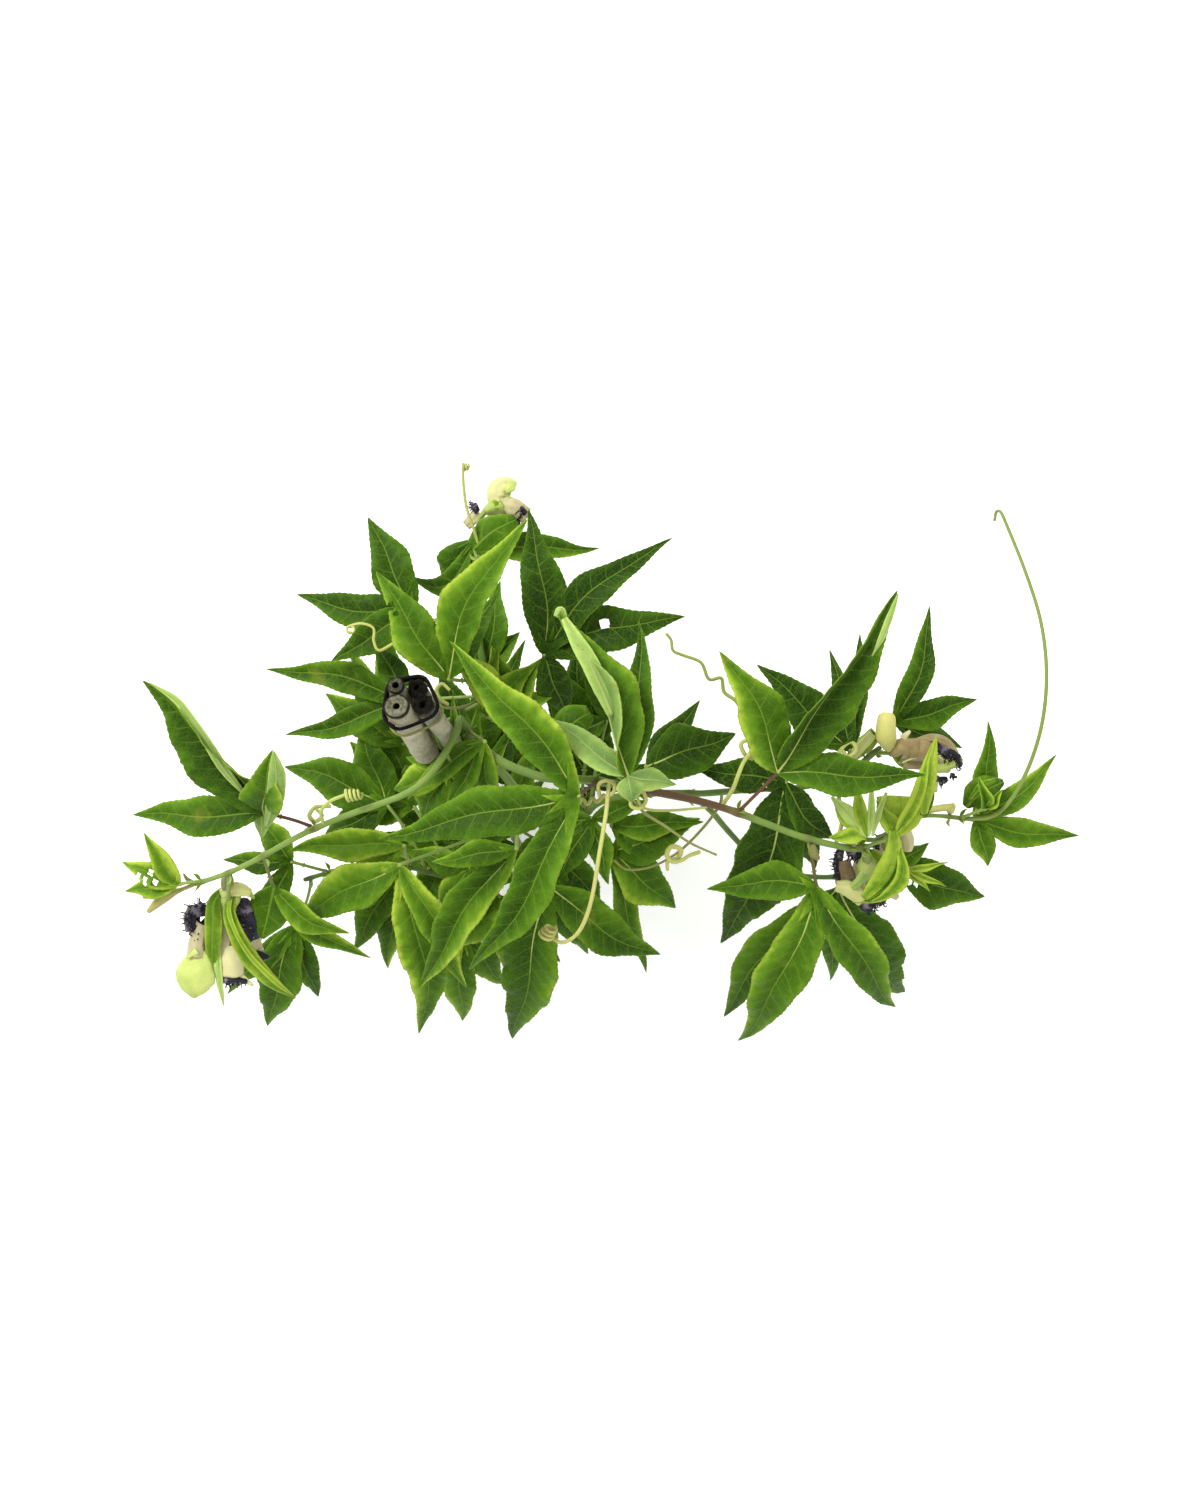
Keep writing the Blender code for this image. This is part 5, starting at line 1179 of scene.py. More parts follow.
def dress_stem(name):
    """A stem with its stipules, tendrils, dried buds and small coils."""
    chance = random.Random(name)
    coarse, sizes = stem_route(name)
    route = smooth_route(coarse, 8)
    nodes = stem_nodes(name)
    radii = []
    for i, spot in enumerate(route):
        at = i / (len(route) - 1) * (len(sizes) - 1)
        low = min(int(at), len(sizes) - 2)
        size = sizes[low] + (sizes[low + 1] - sizes[low]) * (at - low)
        swell = sum(math.exp(-((spot - node[0]).length / 2.4) ** 2) for node, _ in nodes)
        radii.append(size * (0.96 + 0.2 * min(1.0, swell)))
    if not STEMS[name][0]:
        route[0] += Vector((0, 0, radii[0] * 0.5))
    tone, dark = SKIN_TONES[name], SUNNED.get(name)

    def skin(spot):
        # below 110 mm the skin is painted darker towards the floor: painted shade under the leaves
        lit = 0.0 if spot.z > 110 else -0.14 * (1 - spot.z / 110)
        return tone + lit + 0.1 * noise.noise(spot * 0.06)

    def browned(spot):
        near = max([math.exp(-((spot - node[0]).length / 2.0) ** 2) for node, _ in nodes] + [0])
        sun = window(spot.x, *dark) if dark and spot.z > 120 else 0.0
        return min(1.0, 0.7 * sun + 0.28 * near + 0.04)

    sheets = blank()
    grown = blank()
    for node, hub in nodes:
        stipules(sheets, grown, chance, node, hub)
    bm = thickened(sheets, 0.3)
    grown_mesh = bpy.data.meshes.new("buds")
    grown.to_mesh(grown_mesh)
    grown.free()
    bm.from_mesh(grown_mesh)
    sweep(bm, route, radii, 16, skin, browned, GREEN_SKIN, 0.035)
    for spec, (pale, brown, stout) in zip(TENDRILS.get(name, []), TENDRIL_TONES.get(name, ())):
        path = tendril_path(name, spec)
        thick = tapered(len(path), stout * spec[1], 0.68 * stout * spec[1])
        sweep(bm, path, thick, 8, pale, brown, GREEN_SKIN)
    for stem, pale, brown, *spots in KNOTS:
        if stem == name:
            path, thick = drawn(spots, 6)
            sweep(bm, path, thick, 10, pale, brown, GREEN_SKIN, 0.05)
    if name == GRIPPING_STEM:
        path = grip_path()
        sweep(bm, path, [0.9 * GRIP_RADIUS] * len(path), 8, 0.72, 0.42, GREEN_SKIN)
    finished(bm, name, LEAF_FINISHES, "stem", name)


# ---------------------------------------------------------------- leaves
# bites and tears: leaf, middle, radius
BITES = {
    "leaf_centre": (((-88, -20, 164), 3.2), ((-80, -22, 166), 1.6)),
    "leaf_upper_left": (((-86, 58.5, 161), 1.5), ((-84, 55.5, 161), 0.8), ((-43, 62, 166), 2.4),
                        ((-47, 53, 164), 1.6)),
    "leaf_dark_top": (((1, 53.5, 140), 2.0),),
    "leaf_left_shoot": (((-177, -6, 152), 1.7), ((-182.5, 4, 155), 1.3)),
    "leaf_left_tip": (((-195.5, -53, 128), 1.1), ((-201, -54.5, 127), 0.9),
                      ((-198, -56, 127), 0.9), ((-198.5, -58, 124), 1.1),
                      ((-194, -57.5, 125), 1.2)),
    "leaf_right_far": (((145, -62, 62), 1.3), ((148, -63, 62), 0.8)),
}


BITE_HEIGHT = 0.012  # metres above and below a bite's middle that it reaches
FOLDED = 60  # degrees; a lobe folded further has no web
NEIGHBOURS = (0.2, 1.9)  # radians between two lobes that share a web
WEB_REACH = 0.17  # share of the lobes' length that a web joins


def lobe_width(share):
    """Half width along a lobe, as a share of its widest: narrow at the foot, pointed at the tip."""
    swell = math.sin(math.pi * share ** 0.86) ** 0.8
    near_tip = max(0.0, (share - 0.35) / 0.65)
    narrowing = 1 - 0.5 * near_tip * near_tip * (3 - 2 * near_tip)
    return max(swell * narrowing, 0.10 * (1 - share))


def blade(bm, chance, foot, tip, half, arch, bow, left, right, roll, tone, up=UP, columns=14,
          width=lobe_width, blush=None, finish=0, ruffle=1.0):
    """One lobe: toothed, quilted between its side veins and waved along its edges."""
    chord = tip - foot
    length = chord.length
    along = chord.normalized()
    side = along.cross(up).normalized()
    lift = side.cross(along)
    phases = [chance.uniform(0, 2 * math.pi) for _ in range(6)]
    twist = math.radians(chance.uniform(-7, 7))
    curl = chance.uniform(-0.4, 1.0)
    wave_length = chance.uniform(13, 21)
    tooth_depth = min(0.42, 0.05 * half)

    def place(t, v):
        swell = 4 * t * (1 - t)
        s, a, hand = t * length, abs(v), int(v > 0)
        rib = foot + chord * t + lift * (arch * swell) + side * (bow * swell)
        rib += side * (0.02 * length * math.sin(2.2 * math.pi * t + phases[4]) * swell)
        turn = math.radians(roll) + twist * math.sin(math.pi * t)
        out = side * math.cos(turn) + lift * math.sin(turn)
        top = lift * math.cos(turn) - side * math.sin(turn)
        reach = half * width(t) * (1 + 0.05 * math.sin(s / 3.3 + phases[hand]) * ruffle)
        tooth = (s / TOOTH + 0.4 * hand) % 1.0 - 0.5
        reach += tooth_depth * tooth * a ** 4 * min(1.0, reach / 3)
        y = v * reach
        fold = math.radians(left if v < 0 else right) * math.sqrt(swell)
        crease = math.sqrt(y * y + 0.16) - 0.4
        course = (s - VEIN_SLANT * abs(y) - VEIN_CURVE * y * y) / VEIN_SPACING + 0.5 * hand
        quilt = 1 - (2 * abs(course % 1.0 - 0.5) - 1) ** 2
        raised = 0.075 * reach * math.sin(math.pi * a) + 0.08 * quilt * (1 - a) * min(1, a * 5)
        raised += ruffle * 0.085 * half * a * a * swell * (
            math.sin(2 * math.pi * s / wave_length + phases[2 + hand])
            + 0.45 * math.sin(4.6 * math.pi * s / wave_length + phases[5 - hand]))
        raised -= curl * 0.10 * reach * a ** 3
        return rib + out * (y * math.cos(fold)) + top * (crease * math.sin(fold) + raised)

    def size(t, v):
        return v * half * width(t) / CHART, t * length / CHART

    def shade(t, v):
        # one half of the lobe is painted lighter and the other darker: painted light and shade
        # across the fold
        painted_lit_half = max(-1.0, min(1.0, 3 * v))
        return tone + 0.05 * math.sin(3 * t + phases[0]) + 0.13 * painted_lit_half * math.sin(phases[1])

    rows = max(8, round(length / 0.68))
    lay(bm, columns, rows, place, size, shade, blush, finish)
    return place


def web(bm, first, second, reach, tone):
    """The web that joins two neighbouring lobes near the stalk."""

    def place(t, v):
        share = (1 - v) / 2
        along = reach * (t * (1 - 0.42 * math.sin(math.pi * share)))
        here, there = first(along, 0.55), second(along, -0.55)
        return here.lerp(there, share) + UP * (0.25 * math.sin(math.pi * share) * t)

    def size(t, v):
        return 0.03 + 0.01 * t, 0.02 * t

    lay(bm, 6, 8, place, size, tone)


def bearing(foot, tip):
    """Direction of a lobe as seen from above, in radians."""
    return math.atan2(tip.y - foot.y, tip.x - foot.x)


def gnaw(bm, middle, radius):
    """Eats a ragged hole into the blades round a point."""
    middle = (Vector(middle) + PLACE) * MM
    gone = []
    reach = radius * MM
    for vert in bm.verts:
        away = vert.co - middle
        if math.hypot(away.x, away.y) < reach and abs(away.z) < BITE_HEIGHT:
            gone.append(vert)
    for vert in bm.verts:
        away = (vert.co - middle).xy
        share = away.length / reach
        if 1 <= share < 2 and abs(vert.co.z - middle.z) < BITE_HEIGHT:
            pull = away * ((1 + (share - 1) ** 2) / share - 1)
            vert.co += Vector((pull.x, pull.y, 0))
    bmesh.ops.delete(bm, geom=gone, context="VERTS")


def dress_leaf(name):
    """A leaf: lobes, webs between them, folds, bites, midribs and stalk."""
    chance = random.Random(name)
    stem, near, hub, lobes = LEAVES.get(name) or CROWD[name]
    hub = Vector(hub)
    tone = TONES[name]
    sheets, ribs, laid = blank(), [], []
    for lobe, (x, y, z, half, arch, bow, left, right, roll) in enumerate(lobes):
        tip = Vector((x, y, z))
        kept = EASED.get(name, 1.0)
        left, right = left * kept, right * kept
        half *= BREADTH.get(name, 1.0)
        columns = 14 if half > 7 else 10
        lighter = chance.uniform(-0.05, 0.05)
        if name in LOBE_TONES:
            lighter = LOBE_TONES[name][lobe]
        place = blade(sheets, chance, hub, tip, half, arch, bow, left, right, roll,
                      tone + lighter, columns=columns)
        ribs.append((place, half))
        if abs(roll) < 90 and max(left, right) < FOLDED:
            laid.append((bearing(hub, tip), place))
    laid.sort(key=lambda entry: entry[0])
    for (a, first), (b, second) in zip(laid, laid[1:] + laid[:1]):
        apart = (b - a) % (2 * math.pi)
        if NEIGHBOURS[0] < apart < NEIGHBOURS[1]:
            web(sheets, first, second, WEB_REACH, tone)
    for shade, side, bulge, *spots in FOLDS.get(name, ()):
        limp(sheets, chance, spots, bulge, shade, 0.0, side, 0.3)
    for middle, radius in BITES.get(name, ()):
        gnaw(sheets, middle, radius)
    bm = thickened(sheets, BLADE)
    for place, half in ribs:
        path = [place(t, 0.0) - UP * 0.22 for t in (i / 16 for i in range(16))]
        sweep(bm, path, tapered(16, 0.05 * half + 0.15, 0.12), 6, 0.78, 0.0, GREEN_SKIN)
    red = RED_STALKS.get(name, USUAL_RED)
    path = stalk_path(stem, near, hub - UP * 0.3, STALK)
    green = 0.42 if tone < 0.3 else 0.6
    sweep(bm, path, stalk_radii(STALK, 0.88), 10, green, red, GREEN_SKIN, 0.03)
    bead(bm, hub - UP * 0.35, 1.05, path[-1] - path[-2], 1.3, 0.75, 0.1, GREEN_SKIN)
    if (hub - path[0]).length > LONG_STALK:
        for way in (-1, 1):
            gland = path[9] + (path[10] - path[9]).cross(UP).normalized() * (way * 0.95)
            bead(bm, gland, 0.42, UP, 1.3, 0.9, 0.25, GREEN_SKIN, 8)
    slot = "leaf_young" if tone > 0.8 else "leaf_dark" if tone < 0.25 else "leaf"
    nodes = (name,) if name in LEAVES else ()
    finished(bm, name, LEAF_FINISHES, SLOTS.get(name, slot), *nodes)


# ---------------------------------------------------------------- canes and wire
CANE_SPARE = 8.0  # length below the floor, cut off level with it
CANE_STEP = 2.2  # spacing of the rings of a cane's surface
KNOT_REACH = 1.9  # how far a node ring's swelling reaches along the cane
# how black the mould makes each cane near its sawn end
MOULD = {"cane_front_left": 0.14, "cane_back_left": 0.5, "cane_back": 1.0, "cane_right": 0.92}


def cane_line(name):
    """Axis of a cane: its middle at the foot plane and at its upper end."""
    angle, away, _, stand = CANES[name]
    top, foot = math.radians(angle), math.radians(angle + FOOT_TWIST)
    upper = BUNDLE_TOP + Vector((math.cos(top), math.sin(top), 0)) * away
    lower = BUNDLE_FOOT + Vector((math.cos(foot), math.sin(foot), 0)) * FOOT_SPREAD
    return lower, upper + (upper - lower).normalized() * stand


def convex_hull(points):
    """Outline round flat points, anticlockwise."""
    points = sorted(set(points))

    def half(run):
        chain = []
        for p in run:
            while len(chain) > 1:
                (ax, ay), (bx, by) = chain[-2], chain[-1]
                if (bx - ax) * (p[1] - ay) - (by - ay) * (p[0] - ax) > 0:
                    break
                chain.pop()
            chain.append(p)
        return chain[:-1]

    return half(points) + half(points[::-1])


def loop_round_canes(drop, clear, turns, pitch, begin=(0, 0, 0)):
    """A winding path that hugs the bundle, drop below its top, begun at its point nearest begin."""
    axis = (BUNDLE_TOP - BUNDLE_FOOT).normalized()
    flat_x = UP.cross(axis).cross(axis).normalized()
    flat_y = axis.cross(flat_x)
    centre = BUNDLE_TOP - axis * drop
    round_them = []
    for name in CANES:
        lower, upper = cane_line(name)
        way = upper - lower
        spot = lower + way * ((centre - lower).dot(axis) / way.dot(axis)) - centre
        reach = (CANES[name][2] + clear) / math.cos(math.pi / 10)
        for i in range(10):
            angle = math.pi * i / 5
            round_them.append(
                (round(spot.dot(flat_x) + reach * math.cos(angle), 3),
                 round(spot.dot(flat_y) + reach * math.sin(angle), 3))
            )
    hull = convex_hull(round_them)
    ring = [centre + flat_x * x + flat_y * y for x, y in hull]
    first = min(range(len(ring)), key=lambda i: (ring[i] - Vector(begin)).length)
    return [
        ring[(first + i) % len(ring)] + axis * (pitch * (i / len(ring) - turns / 2))
        for i in range(int(turns * len(ring)))
    ]


def dress_cane(name):
    """A hollow cane with node rings, a sawn and weathered end, cut level at the floor."""
    lower, upper = cane_line(name)
    radius, mould = CANES[name][2], MOULD[name]
    axis = (upper - lower).normalized()
    start = lower - axis * CANE_SPARE
    length = (upper - start).length
    first = axis.cross(Vector((0, 1, 0))).normalized()
    second = axis.cross(first)
    rotten = mould > 0.9
    broken = 2.4 if rotten else 0.16
    # profile of the cane: distance from its axis, height
    profile = [(0.0, length - CANE_BORE_DEPTH), (0.8, length - CANE_BORE_DEPTH)]
    profile += [(CANE_BORE, length - CANE_BORE_DEPTH + 0.5), (CANE_BORE, length - 4)]
    profile += [(CANE_BORE, length - 1), (CANE_BORE + 0.06, length - 0.2)]
    wall = radius - 0.35 - CANE_BORE - 0.2
    profile += [(CANE_BORE + 0.2 + wall * i / 6, length) for i in range(7)]
    profile += [(radius - 0.12, length - 0.12), (radius, length - 0.5)]
    heights = [length - 0.5 - CANE_STEP * i for i in range(1, int((length - 1) / CANE_STEP))]
    for height in heights:
        swell = 0.0
        for share in CANE_KNOTS:
            off = (height - length * share) / KNOT_REACH
            swell += KNOT_SWELL * math.exp(-off * off)
        profile.append((radius + swell, height))
    profile += [(radius, 0.0), (0.0, 0.0)]
    rows = len(profile) - 1

    def place(t, v):
        away, height = profile[round(t * rows)]
        angle = math.pi * v
        spoke = first * math.cos(angle) + second * math.sin(angle)
        spot = start + axis * height + spoke * away
        if 0.5 < away:
            grain = noise.noise(Vector((math.cos(angle) * 3, math.sin(angle) * 3, height * 0.04)))
            spot += spoke * (0.22 * grain)
        if rotten and height > length - 8 and away > 2:
            spot += spoke * (0.9 * noise.noise(spot * 0.5) * min(1.0, (height - length + 8) / 4))
        if height > length - 1.2 and away > 1:
            rough = noise.noise(spot * 0.55) + 0.5 * noise.noise(spot * 1.7)
            spot += axis * (broken * (rough - 0.45))
        return spot

    def size(t, v):
        return v * math.pi * radius / CHART, profile[round(t * rows)][1] / CHART

    def sawn(t, v):
        away, height = profile[round(t * rows)]
        return 1.0 if height > length - 0.3 and away < radius - 0.3 else 0.0

    def black(t, v):
        away, height = profile[round(t * rows)]
        # the hollow of the bore is painted fully black: painted shade in the recess
        if away < CANE_BORE + 0.05:
            return 1.0
        rim = 0.75 if away > radius - 0.4 and height > length - 1.5 else 0.0
        return min(1.0, mould * math.exp(-(length - height) / 9.0) + rim * (1 - mould))

    bm = blank()
    lay(bm, 40, rows, place, size, black, sawn)
    parts = [*bm.verts, *bm.edges, *bm.faces]
    cut = bmesh.ops.bisect_plane(
        bm, geom=parts, plane_co=(0, 0, 0), plane_no=UP, clear_inner=True)["geom_cut"]
    rim = [entry for entry in cut if isinstance(entry, bmesh.types.BMEdge)]
    bmesh.ops.holes_fill(bm, edges=rim, sides=0)
    finished(bm, name, (CANE,), "cane", name)


def dress_wire_tie():
    """The wire wound round the canes."""
    path = loop_round_canes(WIRE_DROP, WIRE_RADIUS + GAP, WIRE_TURNS, WIRE_PITCH)
    path = smooth_route(path, 3)
    bm = blank()
    sweep(bm, path, [WIRE_RADIUS] * len(path), 12)
    finished(bm, "wire_tie", (WIRE,), "wire", "wire_tie")


# ---------------------------------------------------------------- blooms
# Every bloom is past its best: limp tepals, and the threads of the corona matted into dark tufts.
# Bracts: tone, side that shows, bulge. Tepals: tone, violet, bulge. Rounds, which are the solid
# round parts: piece, tone, brown. Tufts: number of threads. Then spots: x, y, z, half width.
# A tone runs from tan through cream to green.
SPENT = {
    "bloom_left": {
        "bracts": (
            (0.74, 0, 0.45, (-168.5, -62, 112, 1.3), (-172.5, -68, 111, 3.1),
             (-174, -78.5, 107, 4), (-176, -90.5, 101, 3.1), (-177, -101, 94, 0.3)),
            (0.95, 1, 0.2, (-173.5, -89.5, 99, 0.7), (-174.5, -97.5, 97, 1.8),
             (-174.5, -107.5, 93, 1.5), (-174, -117.5, 88, 0.2)),
            (0.8, 0, 0.5, (-163.5, -63.5, 114, 1.3), (-165.5, -72, 113, 2.7),
             (-163, -82.5, 110, 3.5), (-158, -94.5, 104, 4), (-150, -105.5, 97, 2.9),
             (-141, -114, 88, 0.2)),
            (0.93, 0, 0.3, (-164, -65, 116, 0.7), (-165, -72.5, 115, 0.9),
             (-161.5, -83, 113, 0.9), (-156, -94, 107, 1.1), (-147, -105, 101, 1.1),
             (-141, -112.5, 92, 0.2)),
            (0.95, 1, 0.3, (-164.5, -62.5, 112, 1.3), (-159.5, -62, 112, 2.2),
             (-155.5, -66.5, 107, 0.4)),
        ),
        "tepals": (
            (0.83, 0, 0.5, (-183, -90.5, 98, 3.6), (-183.5, -95.5, 98, 6.4),
             (-185, -102.5, 97, 9.1), (-186, -109, 95, 6.8), (-186.5, -113, 93, 1.4)),
            (0.68, 0, 0.4, (-169, -63.5, 114, 1.8), (-162, -61.5, 116, 3.1),
             (-156, -63.5, 113, 1.8)),
            (0.46, 0.25, 0.9, (-180, -78.5, 101, 4.1), (-183.5, -86, 100, 3.6),
             (-184.5, -93.5, 99, 4.1)),
            (0.8, 0, 0.5, (-182.5, -90.5, 102, 1.4), (-187.5, -94, 101, 0.3)),
            (0.42, 0.22, 0.4, (-159, -80.5, 98, 5.4), (-159, -87.5, 96, 3.6),
             (-161, -94, 93, 0.5)),
            (0.48, 0, 0.7, (-169, -88.5, 97, 5), (-169, -95.5, 96, 5.9), (-169.5, -103, 93, 5.5)),
            (0.3, 0.1, 0.5, (-169.5, -73, 102, 1.8), (-170.5, -83.5, 100, 2.3),
             (-171.5, -93, 97, 1.8)),
            (0.4, 0, 0.3, (-166.5, -103.5, 92, 2.3), (-160, -108, 90, 0.5)),
            (0.2, 0.55, 0.5, (-185.5, -70.5, 99, 1.4), (-188, -76, 98, 1.8),
             (-187, -82.5, 98, 1.8)),
            (0.45, 0.1, 0.5, (-168, -69, 104, 2.2), (-177, -79.5, 97, 4),
             (-184.5, -89.5, 94, 4.5)),
            (0.5, 0.1, 0.5, (-166.5, -69.5, 104, 2.2), (-162, -79.5, 95, 4),
             (-159, -93, 89, 3.6)),
            (0.5, 0.05, 0.5, (-168, -70.5, 102, 2.3), (-170.5, -87, 93, 4.5),
             (-170.5, -101, 88, 5)),
        ),
        "rounds": (
            ("bracts", 0.78, 0.34, (-162.5, -54, 126, 1.1), (-165, -57.5, 119, 2.8),
             (-166.5, -61.5, 113, 2.2)),
            ("tepals", 0.82, 0, (-165.5, -61, 113, 2.7), (-166, -65, 109, 4.9),
             (-167, -70, 104, 3.1)),
            ("tepals", 0.9, 0, (-167, -70, 104, 1.3), (-168, -79.5, 98, 1.1),
             (-168.5, -86, 94, 1.3)),
        ),
        "tufts": (
            (60, (-177, -73, 102, 3.2), (-181, -72.5, 101, 4.1), (-184.5, -74, 100, 4.1),
             (-185, -79.5, 99, 4.1), (-180.5, -80.5, 99, 4.1), (-177.5, -77.5, 99, 3.6)),
            (44, (-161, -67.5, 106, 2.7), (-160, -72.5, 103, 5.4), (-158.5, -78.5, 100, 6.7),
             (-159, -84.5, 96, 4.5)),
            (16, (-160, -94, 93, 2.7), (-156.5, -94.5, 92, 3.2), (-153, -95, 90, 1.4)),
            (14, (-174, -105, 92, 2.3), (-168.5, -105, 92, 2.3), (-163, -106, 91, 1.8)),
        ),
    },
    "bloom_top": {
        "bracts": (
            (0.85, 0, 0.4, (-50.5, 109, 101, 1.4), (-47.5, 110.5, 102, 2.7),
             (-44, 109.5, 99, 0.9)),
            (0.95, 1, 0.4, (-49, 112, 99, 1.4), (-44, 113.5, 100, 1.8), (-41.5, 117, 99, 0.5)),
        ),
        "tepals": (
            (0.6, 0, 0.6, (-46.5, 110.5, 100, 2.7), (-48, 115, 101, 4.1), (-46, 119, 101, 4.1),
             (-42, 121, 100, 2.7), (-38.5, 120.5, 99, 0.5)),
            (0.84, 0, 0.5, (-43.5, 116.5, 102, 0.9), (-41, 119, 102, 2.3), (-39, 121, 100, 0.5)),
            (0.24, 0.03, 0.6, (-45, 112.5, 100, 2.7), (-40, 110, 99, 4.1), (-34, 106.5, 95, 3.6)),
            (0.24, 0.05, 0.4, (-55.5, 108, 98, 2.7), (-62, 102.5, 94, 2.3)),
            (0.4, 0, 0.6, (-50, 109, 97, 2.7), (-44, 107.5, 95, 3.6), (-38.5, 105, 92, 3.2)),
            (0.55, 0, 0.5, (-51, 110, 96, 2.3), (-47, 105, 88, 3.6), (-45, 102.5, 80, 2.7)),
        ),
        "rounds": (
            ("bracts", 0.7, 0.05, (-51.5, 97, 101, 1), (-55, 99.5, 101, 1.1),
             (-55.5, 104, 101, 1.2), (-52.5, 108, 101, 1.4)),
            ("tepals", 0.9, 0, (-52.5, 108, 101, 1.8), (-48, 110.5, 99, 3.6),
             (-44.5, 110, 96, 2.7)),
        ),
        "tufts": (
            (16, (-58, 111, 99, 2.3), (-56.5, 108.5, 98, 1.8)),
            (14, (-37, 109.5, 98, 2.3), (-35, 107.5, 97, 2)),
            (14, (-40, 104.5, 96, 2), (-38, 103.5, 95, 1.8)),
            (16, (-46.5, 108, 92, 2.3), (-43.5, 105, 86, 2.3)),
        ),
    },
    "bloom_low_right": {
        "bracts": (
            (0.9, 1, 0.5, (115.5, -45, 117, 0.9), (118.5, -50, 112, 1.8), (116.5, -57, 108, 2.2),
             (111.5, -63, 104, 1.3)),
            (0.85, 0, 0.4, (118.5, -45, 116, 1.3), (125.5, -50, 112, 2.7),
             (132, -58.5, 106, 0.4)),
        ),
        "tepals": (
            (0.36, 0.3, 0.6, (114.5, -45, 107, 4), (120.5, -51, 105, 4.9),
             (126.5, -55, 101, 3.1)),
            (0.1, 0.22, 0.6, (108.5, -49.5, 104, 3.1), (111.5, -59, 100, 3.6)),
            (0.6, 0, 0.5, (105, -61, 105, 2.2), (111, -62.5, 104, 3.6), (118, -68, 101, 3.1)),
            (0.26, 0.2, 0.5, (120.5, -61, 104, 2.2), (127.5, -62.5, 103, 3.1),
             (134, -67, 99, 1.3)),
            (0.14, 0.2, 0.4, (125, -37, 110, 2.7), (128.5, -45, 107, 1.8)),
            (0.3, 0.05, 0.9, (136.5, -36, 104, 2.7), (138, -41.5, 103, 2.9),
             (138, -45.5, 101, 2.2)),
            (0.4, 0.1, 0.5, (118.5, -48.5, 106, 2.7), (116.5, -60, 96, 4.9),
             (122, -69.5, 90, 3.6)),
            (0.45, 0.1, 0.5, (119.5, -48.5, 106, 2.2), (130, -43.5, 102, 3.1),
             (138.5, -39, 100, 2.7)),
        ),
        "rounds": (
            ("bracts", 0.66, 0.15, (116, -43, 121, 1.3), (117, -46, 116, 1.8),
             (118, -49, 112, 2.2)),
            ("tepals", 0.85, 0, (118, -48, 112, 2.7), (118.5, -52, 107, 4.4),
             (119.5, -57, 101, 2.7)),
            ("tepals", 0.8, 0.1, (119.5, -57, 101, 1.2), (120.5, -64.5, 95, 1.1),
             (124, -71, 90, 1.4)),
        ),
        "tufts": (
            (20, (107.5, -44.5, 104, 2.2), (106.5, -51.5, 102, 2.7), (108, -59.5, 99, 2.2)),
            (24, (110, -45, 108, 2.2), (115.5, -47, 108, 2.7), (120.5, -45.5, 106, 1.8)),
            (30, (118.5, -72, 98, 2.7), (122.5, -68.5, 99, 3.6), (128, -68, 97, 2.7)),
            (10, (124, -39.5, 106, 1.3), (123.5, -44, 105, 1.3)),
        ),
    },
    "bloom_far_right": {
        "bracts": (
            (0.97, 0, 0.8, (122.5, 7.5, 110, 3.1), (116.5, 1.5, 108, 3.6), (111.5, -4, 105, 2.2)),
            (0.8, 0, 0.4, (129, 2, 106, 1.3), (136.5, -5.5, 103, 2.7), (144.5, -7, 101, 0.4)),
        ),
        "tepals": (
            (0.12, 0.06, 0.5, (138.5, 3.5, 113, 1.1), (146.5, 5.5, 113, 1.6), (154, 3, 111, 1.8),
             (161, -5, 107, 0.9)),
            (0.2, 0, 0.5, (133, 5, 115, 1.8), (136.5, 8.5, 115, 0.4)),
            (0.12, 0.1, 0.6, (135, -6.5, 107, 1.8), (145, -7, 106, 1.8)),
            (0.66, 0, 0.8, (120.5, 7, 113, 2), (116, 2, 111, 2.2), (112, -3, 107, 2.2)),
            (0.5, 0, 0.4, (150.5, -11.5, 103, 0.9), (151.5, -19, 98, 0.7)),
            (0.35, 0.1, 0.6, (134, -2.5, 104, 3.6), (148.5, -5.5, 100, 4.5),
             (158.5, -8, 96, 2.7)),
        ),
        "rounds": (
            ("bracts", 0.98, 0.02, (126, 15, 117, 3.5), (125.5, 11.5, 117, 4.2),
             (126, 6, 115, 4.4), (128, 1, 111, 2.6)),
            ("tepals", 0.1, 0, (129.5, -1.5, 111, 2.2), (132.5, 1, 112, 4), (135, 1, 112, 4.9),
             (136.5, 1, 112, 4.5), (138.5, 0.5, 112, 5.1), (140.5, 0, 112, 4.6),
             (142.5, 0, 112, 4.9), (146, -1, 110, 4)),
            ("tepals", 0.86, 0, (145.5, -5.5, 109, 1.3), (151, -8, 108, 2),
             (157.5, -6, 107, 2.2)),
            ("tepals", 0.8, 0, (149, -2.5, 110, 0.9), (154.5, -4.5, 109, 0.9),
             (159, -7, 106, 1.3)),
            ("tepals", 0.75, 0, (133.5, -5.5, 113, 0.4), (138.5, -3.5, 114, 0.4),
             (143.5, -4, 113, 0.4)),
        ),
        "tufts": (
            (46, (149, 2.5, 110, 2.7), (154, -0.5, 109, 3.6), (158.5, -3.5, 107, 3.1),
             (160.5, -7, 105, 2.2)),
            (12, (150.5, -13, 103, 1.6), (155, -13.5, 102, 2.3)),
            (8, (157, -11, 104, 1.1), (158.5, -11, 104, 0.9)),
        ),
    },
}


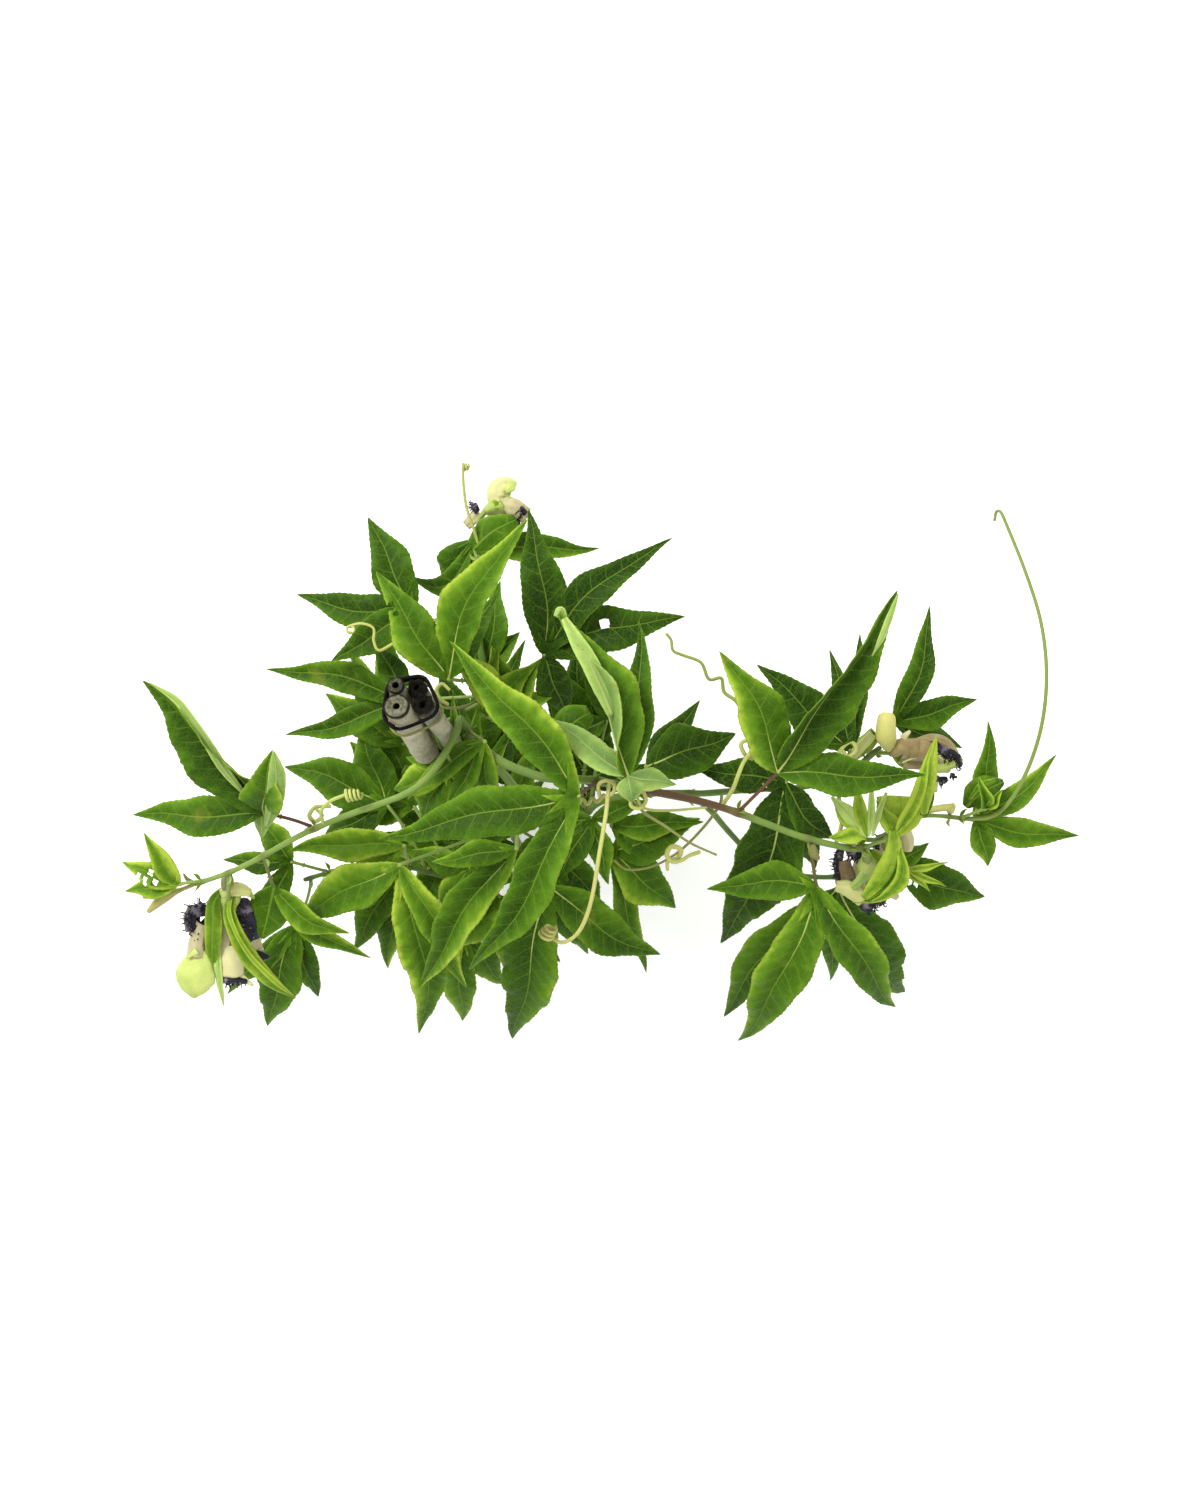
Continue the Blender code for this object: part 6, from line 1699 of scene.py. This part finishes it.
def tuft(bm, chance, threads, spots):
    """Matted threads: a dark knobbly core with loose curled ends standing out of it."""
    path, sizes = drawn(spots, 5)
    sweep(bm, path, [0.72 * size for size in sizes], 12, 0.5, 0.0, 0, 0.16)
    for _ in range(threads):
        i = chance.randrange(len(path) - 1)
        heading = (path[i + 1] - path[i]).normalized()
        wild = Vector((chance.uniform(-1, 1), chance.uniform(-1, 1), 0.4))
        aside = heading.cross(wild).normalized()
        root = path[i] + aside * (0.55 * sizes[i])
        length = 1.1 * sizes[i] + 1.6
        bend, beat = chance.uniform(0, 6.28), chance.uniform(1.5, 3.2)
        across = aside.cross(heading)
        way = aside * 0.6 + heading * chance.uniform(-1, 1) + across * chance.uniform(-1, 1)
        way.normalize()
        thread = []
        for j in range(8):
            t = j / 7
            curl = across * math.sin(beat * t * 3 + bend) + aside * math.cos(beat * t * 3 + bend)
            thread.append(root + way * (length * t * (1 - 0.3 * t)) + curl * (0.9 * t))
        sweep(bm, thread, tapered(8, 0.42, 0.22), 5)


def dress_bloom(name):
    """The three pieces of a bloom: bracts with the stalk, tepals with the column, dark corona."""
    stem, near, back, facing = BLOOMS[name]
    spent = SPENT[name]
    chance = random.Random(name)
    collar = Vector(back) - Vector(facing).normalized() * (COLLAR + GAP)
    sheets = {"bracts": blank(), "tepals": blank()}
    for tone, side, bulge, *spots in spent["bracts"]:
        limp(sheets["bracts"], chance, spots, bulge, tone, 0.0, side, 0.35)
    for tone, violet, bulge, *spots in spent["tepals"]:
        limp(sheets["tepals"], chance, spots, bulge, tone, violet, FACE)
    pieces = {part: thickened(sheet, 0.4) for part, sheet in sheets.items()}
    for part, tone, brown, *spots in spent["rounds"]:
        path, radii = drawn(spots, 5)
        finish = GREEN_SKIN if part == "bracts" else FACE
        sweep(pieces[part], path, radii, 16, tone, brown, finish, 0.07)
    path = stalk_path(stem, near, collar, FOOTSTALK)
    radii = stalk_radii(FOOTSTALK, 0.85)
    sweep(pieces["bracts"], path, radii, 12, 0.62, 0.12, GREEN_SKIN, 0.03)
    bead(pieces["bracts"], collar, COLLAR * 0.95, Vector(facing), 1.1, 0.66, 0.15, GREEN_SKIN, 14)
    threads = blank()
    for count, *spots in spent["tufts"]:
        tuft(threads, chance, count, spots)
    finished(pieces["bracts"], name + "_bracts", LEAF_FINISHES, "bract", name + "_bracts")
    finished(pieces["tepals"], name + "_tepals", (PETAL, PETAL_BACK), "tepal", name + "_tepals")
    finished(threads, name + "_corona", (FILAMENT,), "corona", name + "_corona")


# ---------------------------------------------------------------- floor, light and camera
FOCAL_LENGTH, SENSOR = 37.14, 36.0
EYE = (-0.00356, 0.008153, 0.8)  # the camera looks straight down
FLOOR_DROP = 0.0004  # the floor lies just below the sawn feet


def set_stage():
    """Pale floor that glows faintly as painted light, even sky, two soft lamps, and the camera
    above the vine.
    """
    bm = bmesh.new()
    bmesh.ops.create_grid(bm, x_segments=1, y_segments=1, size=3.0)
    bmesh.ops.translate(bm, vec=(0, 0, -FLOOR_DROP), verts=bm.verts)
    mesh = bpy.data.meshes.new("studio_floor")
    bm.to_mesh(mesh)
    bm.free()
    glowing_floor = Finish("pale_glowing_floor", 0.9)
    # the floor glows faintly: painted light that whitens the shadows cast on it
    glowing_floor.shader.inputs["Emission Color"].default_value = (1.0, 1.0, 1.0, 1.0)
    glowing_floor.shader.inputs["Emission Strength"].default_value = 0.2
    mesh.materials.append(glowing_floor.done((0.93, 0.93, 0.93, 1.0)))
    floor = bpy.data.objects.new("studio_floor", mesh)
    bpy.context.scene.collection.objects.link(floor)

    world = bpy.data.worlds.new("studio")
    world.use_nodes = True
    sky = world.node_tree.nodes["Background"]
    sky.inputs["Color"].default_value = (1.0, 1.0, 1.0, 1.0)
    sky.inputs["Strength"].default_value = 1.0
    bpy.context.scene.world = world

    # name: place, size, power, all aimed at the middle of the vine
    lamps = {
        "key_light": ((-0.75, 0.7, 1.25), 0.6, 27.0),
        "fill_light": ((0.9, -0.5, 1.2), 1.2, 7.0),
    }
    for name, (spot, size, power) in lamps.items():
        light = bpy.data.lights.new(name, "AREA")
        light.size = size
        light.energy = power
        lamp = bpy.data.objects.new(name, light)
        lamp.location = spot
        aim = Vector((0, 0, 0.1)) - Vector(spot)
        lamp.rotation_euler = aim.to_track_quat("-Z", "Y").to_euler()
        bpy.context.scene.collection.objects.link(lamp)

    lens = bpy.data.cameras.new("camera")
    lens.lens = FOCAL_LENGTH
    lens.sensor_width = SENSOR
    lens.clip_start = 0.01
    camera = bpy.data.objects.new("camera", lens)
    camera.location = EYE
    bpy.context.scene.collection.objects.link(camera)
    bpy.context.scene.camera = camera
    bpy.context.scene.view_settings.view_transform = "Standard"


for cane in CANES:
    dress_cane(cane)
dress_wire_tie()
for stem in STEMS:
    dress_stem(stem)
for leaf in (*LEAVES, *CROWD):
    dress_leaf(leaf)
for bloom in BLOOMS:
    dress_bloom(bloom)
set_stage()
